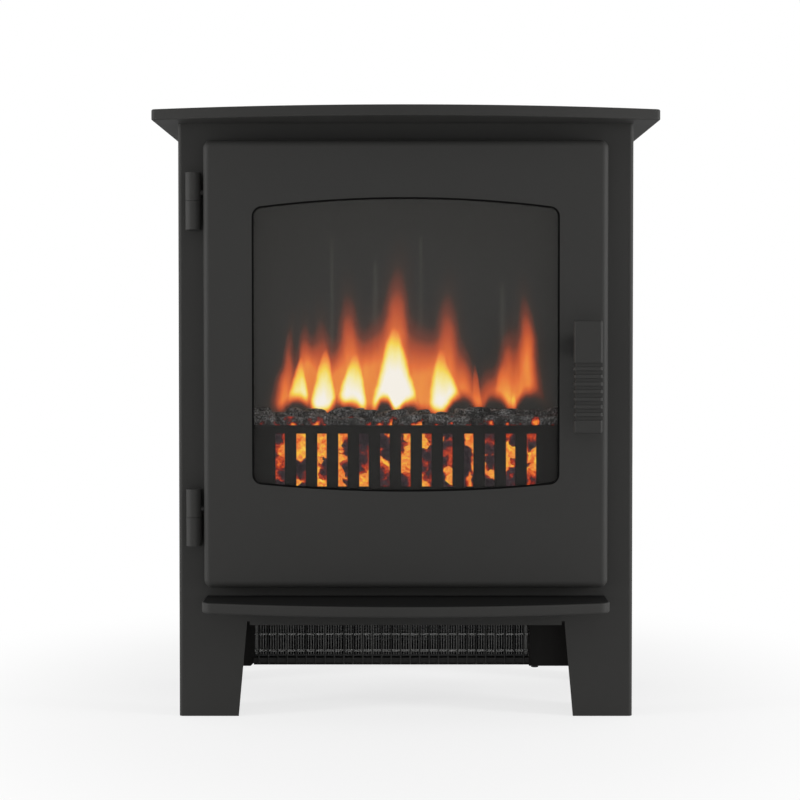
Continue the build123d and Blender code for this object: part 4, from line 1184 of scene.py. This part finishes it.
@dataclass
class Studio:
    """Camera, soft light and pale floor.

    Attributes:
        image: the picture's side in pixels.
        gap: distance from the lens to the front panel.
        front: the front panel's y.
        scale: pixels per metre on the front panel.
        eye: height of the lens.
        tilt: how far the camera looks down.
        middle: the picture column of the stove's middle.
        horizon: the picture row of the eye height.
        sensor: width of the camera's sensor in millimetres.
        sky: strength of the sky's light.
        key: power of the right-hand light.
        fill: power of the left-hand light.
        stand: where the right-hand light stands; the other mirrors it.
        strip: width and height of the lights.
        floor_half: half the floor's side.
        floor_glow: share of plain white in the floor beside the stove.
        shadow_reach: where the shadow starts to fade and where it ends.
    """

    image: int = 800
    sensor: float = 36.0
    gap: float = 1.5
    front: float = -0.058
    scale: float = 1030.0
    eye: float = 0.3785
    tilt: float = math.radians(1.2)
    middle: float = 405.8
    horizon: float = 328.0
    sky: float = 0.52
    key: float = 41.0
    fill: float = 32.0
    stand: tuple[float, float, float] = (2.0, -0.60, 0.42)
    strip: tuple[float, float] = (0.35, 1.1)
    floor_half: float = 6.0
    floor_glow: float = 0.74
    shadow_reach: tuple[float, float] = (0.26, 0.62)

    def build(self) -> None:
        """Set up the camera, the light and the floor."""
        self._camera()
        self._world()
        x, y, z = self.stand
        self._light("right_strip", Vector((x, y, z)), self.key)
        self._light("left_strip", Vector((-x, y, z)), self.fill)
        self._floor()
        bpy.context.scene.view_settings.view_transform = "Standard"

    def _camera(self) -> None:
        """Stand the camera where the photograph was taken from."""
        half = self.image / 2
        reach = self.scale * self.gap
        data = bpy.data.cameras.new("camera")
        data.sensor_width = self.sensor
        data.lens = reach / self.image * self.sensor
        data.shift_x = (half - self.middle) / self.image
        data.shift_y = (self.horizon - half + reach * math.tan(self.tilt)) / self.image
        camera = bpy.data.objects.new("camera", data)
        camera.location = (0.0, self.front - self.gap, self.eye)
        camera.rotation_euler = (math.pi / 2 - self.tilt, 0.0, 0.0)
        bpy.context.scene.collection.objects.link(camera)
        bpy.context.scene.camera = camera

    def _world(self) -> None:
        """Make an even sky that the camera and the gloss see as white."""
        world = bpy.data.worlds.new("studio")
        shader = Shader(world)
        seen = shader.node("ShaderNodeLightPath", output="Is Camera Ray")
        seen = seen.at_least(seen.out("Is Glossy Ray").at_least(seen.out("Is Transmission Ray")))
        strength = self.sky + seen * (1.0 - self.sky)
        inputs = {"Color": (1.0, 1.0, 1.0, 1.0), "Strength": strength}
        shader.show(shader.node("ShaderNodeBackground", inputs=inputs))
        bpy.context.scene.world = world

    def _light(self, name: str, place: Vector, power: float) -> None:
        """Stand an upright soft strip light that faces the stove.

        Args:
            name: the light's name.
            place: where it stands.
            power: its power in watts.
        """
        data = bpy.data.lights.new(name, "AREA")
        data.shape = "RECTANGLE"
        data.size, data.size_y = self.strip
        data.energy = power
        light = bpy.data.objects.new(name, data)
        light.location = place
        aim = Vector((0.0, self.front, place.z)) - place
        light.rotation_euler = aim.to_track_quat("-Z", "Y").to_euler()
        bpy.context.scene.collection.objects.link(light)

    def _floor(self) -> None:
        """Lay the pale floor, which keeps the stove's shadow."""
        mesh = bmesh.new()
        bmesh.ops.create_grid(mesh, x_segments=2, y_segments=2, size=self.floor_half)
        data = bpy.data.meshes.new("floor")
        mesh.to_mesh(data)
        mesh.free()
        floor = bpy.data.objects.new("floor", data)
        bpy.context.scene.collection.objects.link(floor)
        material = bpy.data.materials.new("pale_floor")
        shader = Shader(material)
        lit = shader.node("ShaderNodeBsdfDiffuse", inputs={"Color": (0.92, 0.92, 0.92, 1.0)})
        white = shader.node("ShaderNodeEmission", inputs={"Color": (1.0, 1.0, 1.0, 1.0), "Strength": 1.0})
        point = shader.place()
        away = shader.node("ShaderNodeVectorMath", {"operation": "LENGTH"}, {0: point}, output="Value")
        seen = shader.node("ShaderNodeLightPath", output="Is Camera Ray")
        seen = seen * (self.floor_glow + away.between(*self.shadow_reach) * (1.0 - self.floor_glow))
        shader.show(shader.node("ShaderNodeMixShader", inputs={0: seen, 1: lit, 2: white}))
        put_on(floor, material)


def main() -> None:
    """Build and dress the stove, then set up the studio."""
    logging.basicConfig(level=logging.INFO, format="%(name)s: %(message)s")
    wardrobe = Wardrobe()
    for assembly in (Casing(), Door(), Controls(), Heater(), Firebox()):
        assembly.dress(wardrobe)
        if isinstance(assembly, (Door, Firebox)):
            assembly.build(wardrobe)
    Studio().build()


if __name__ == "__main__":
    main()
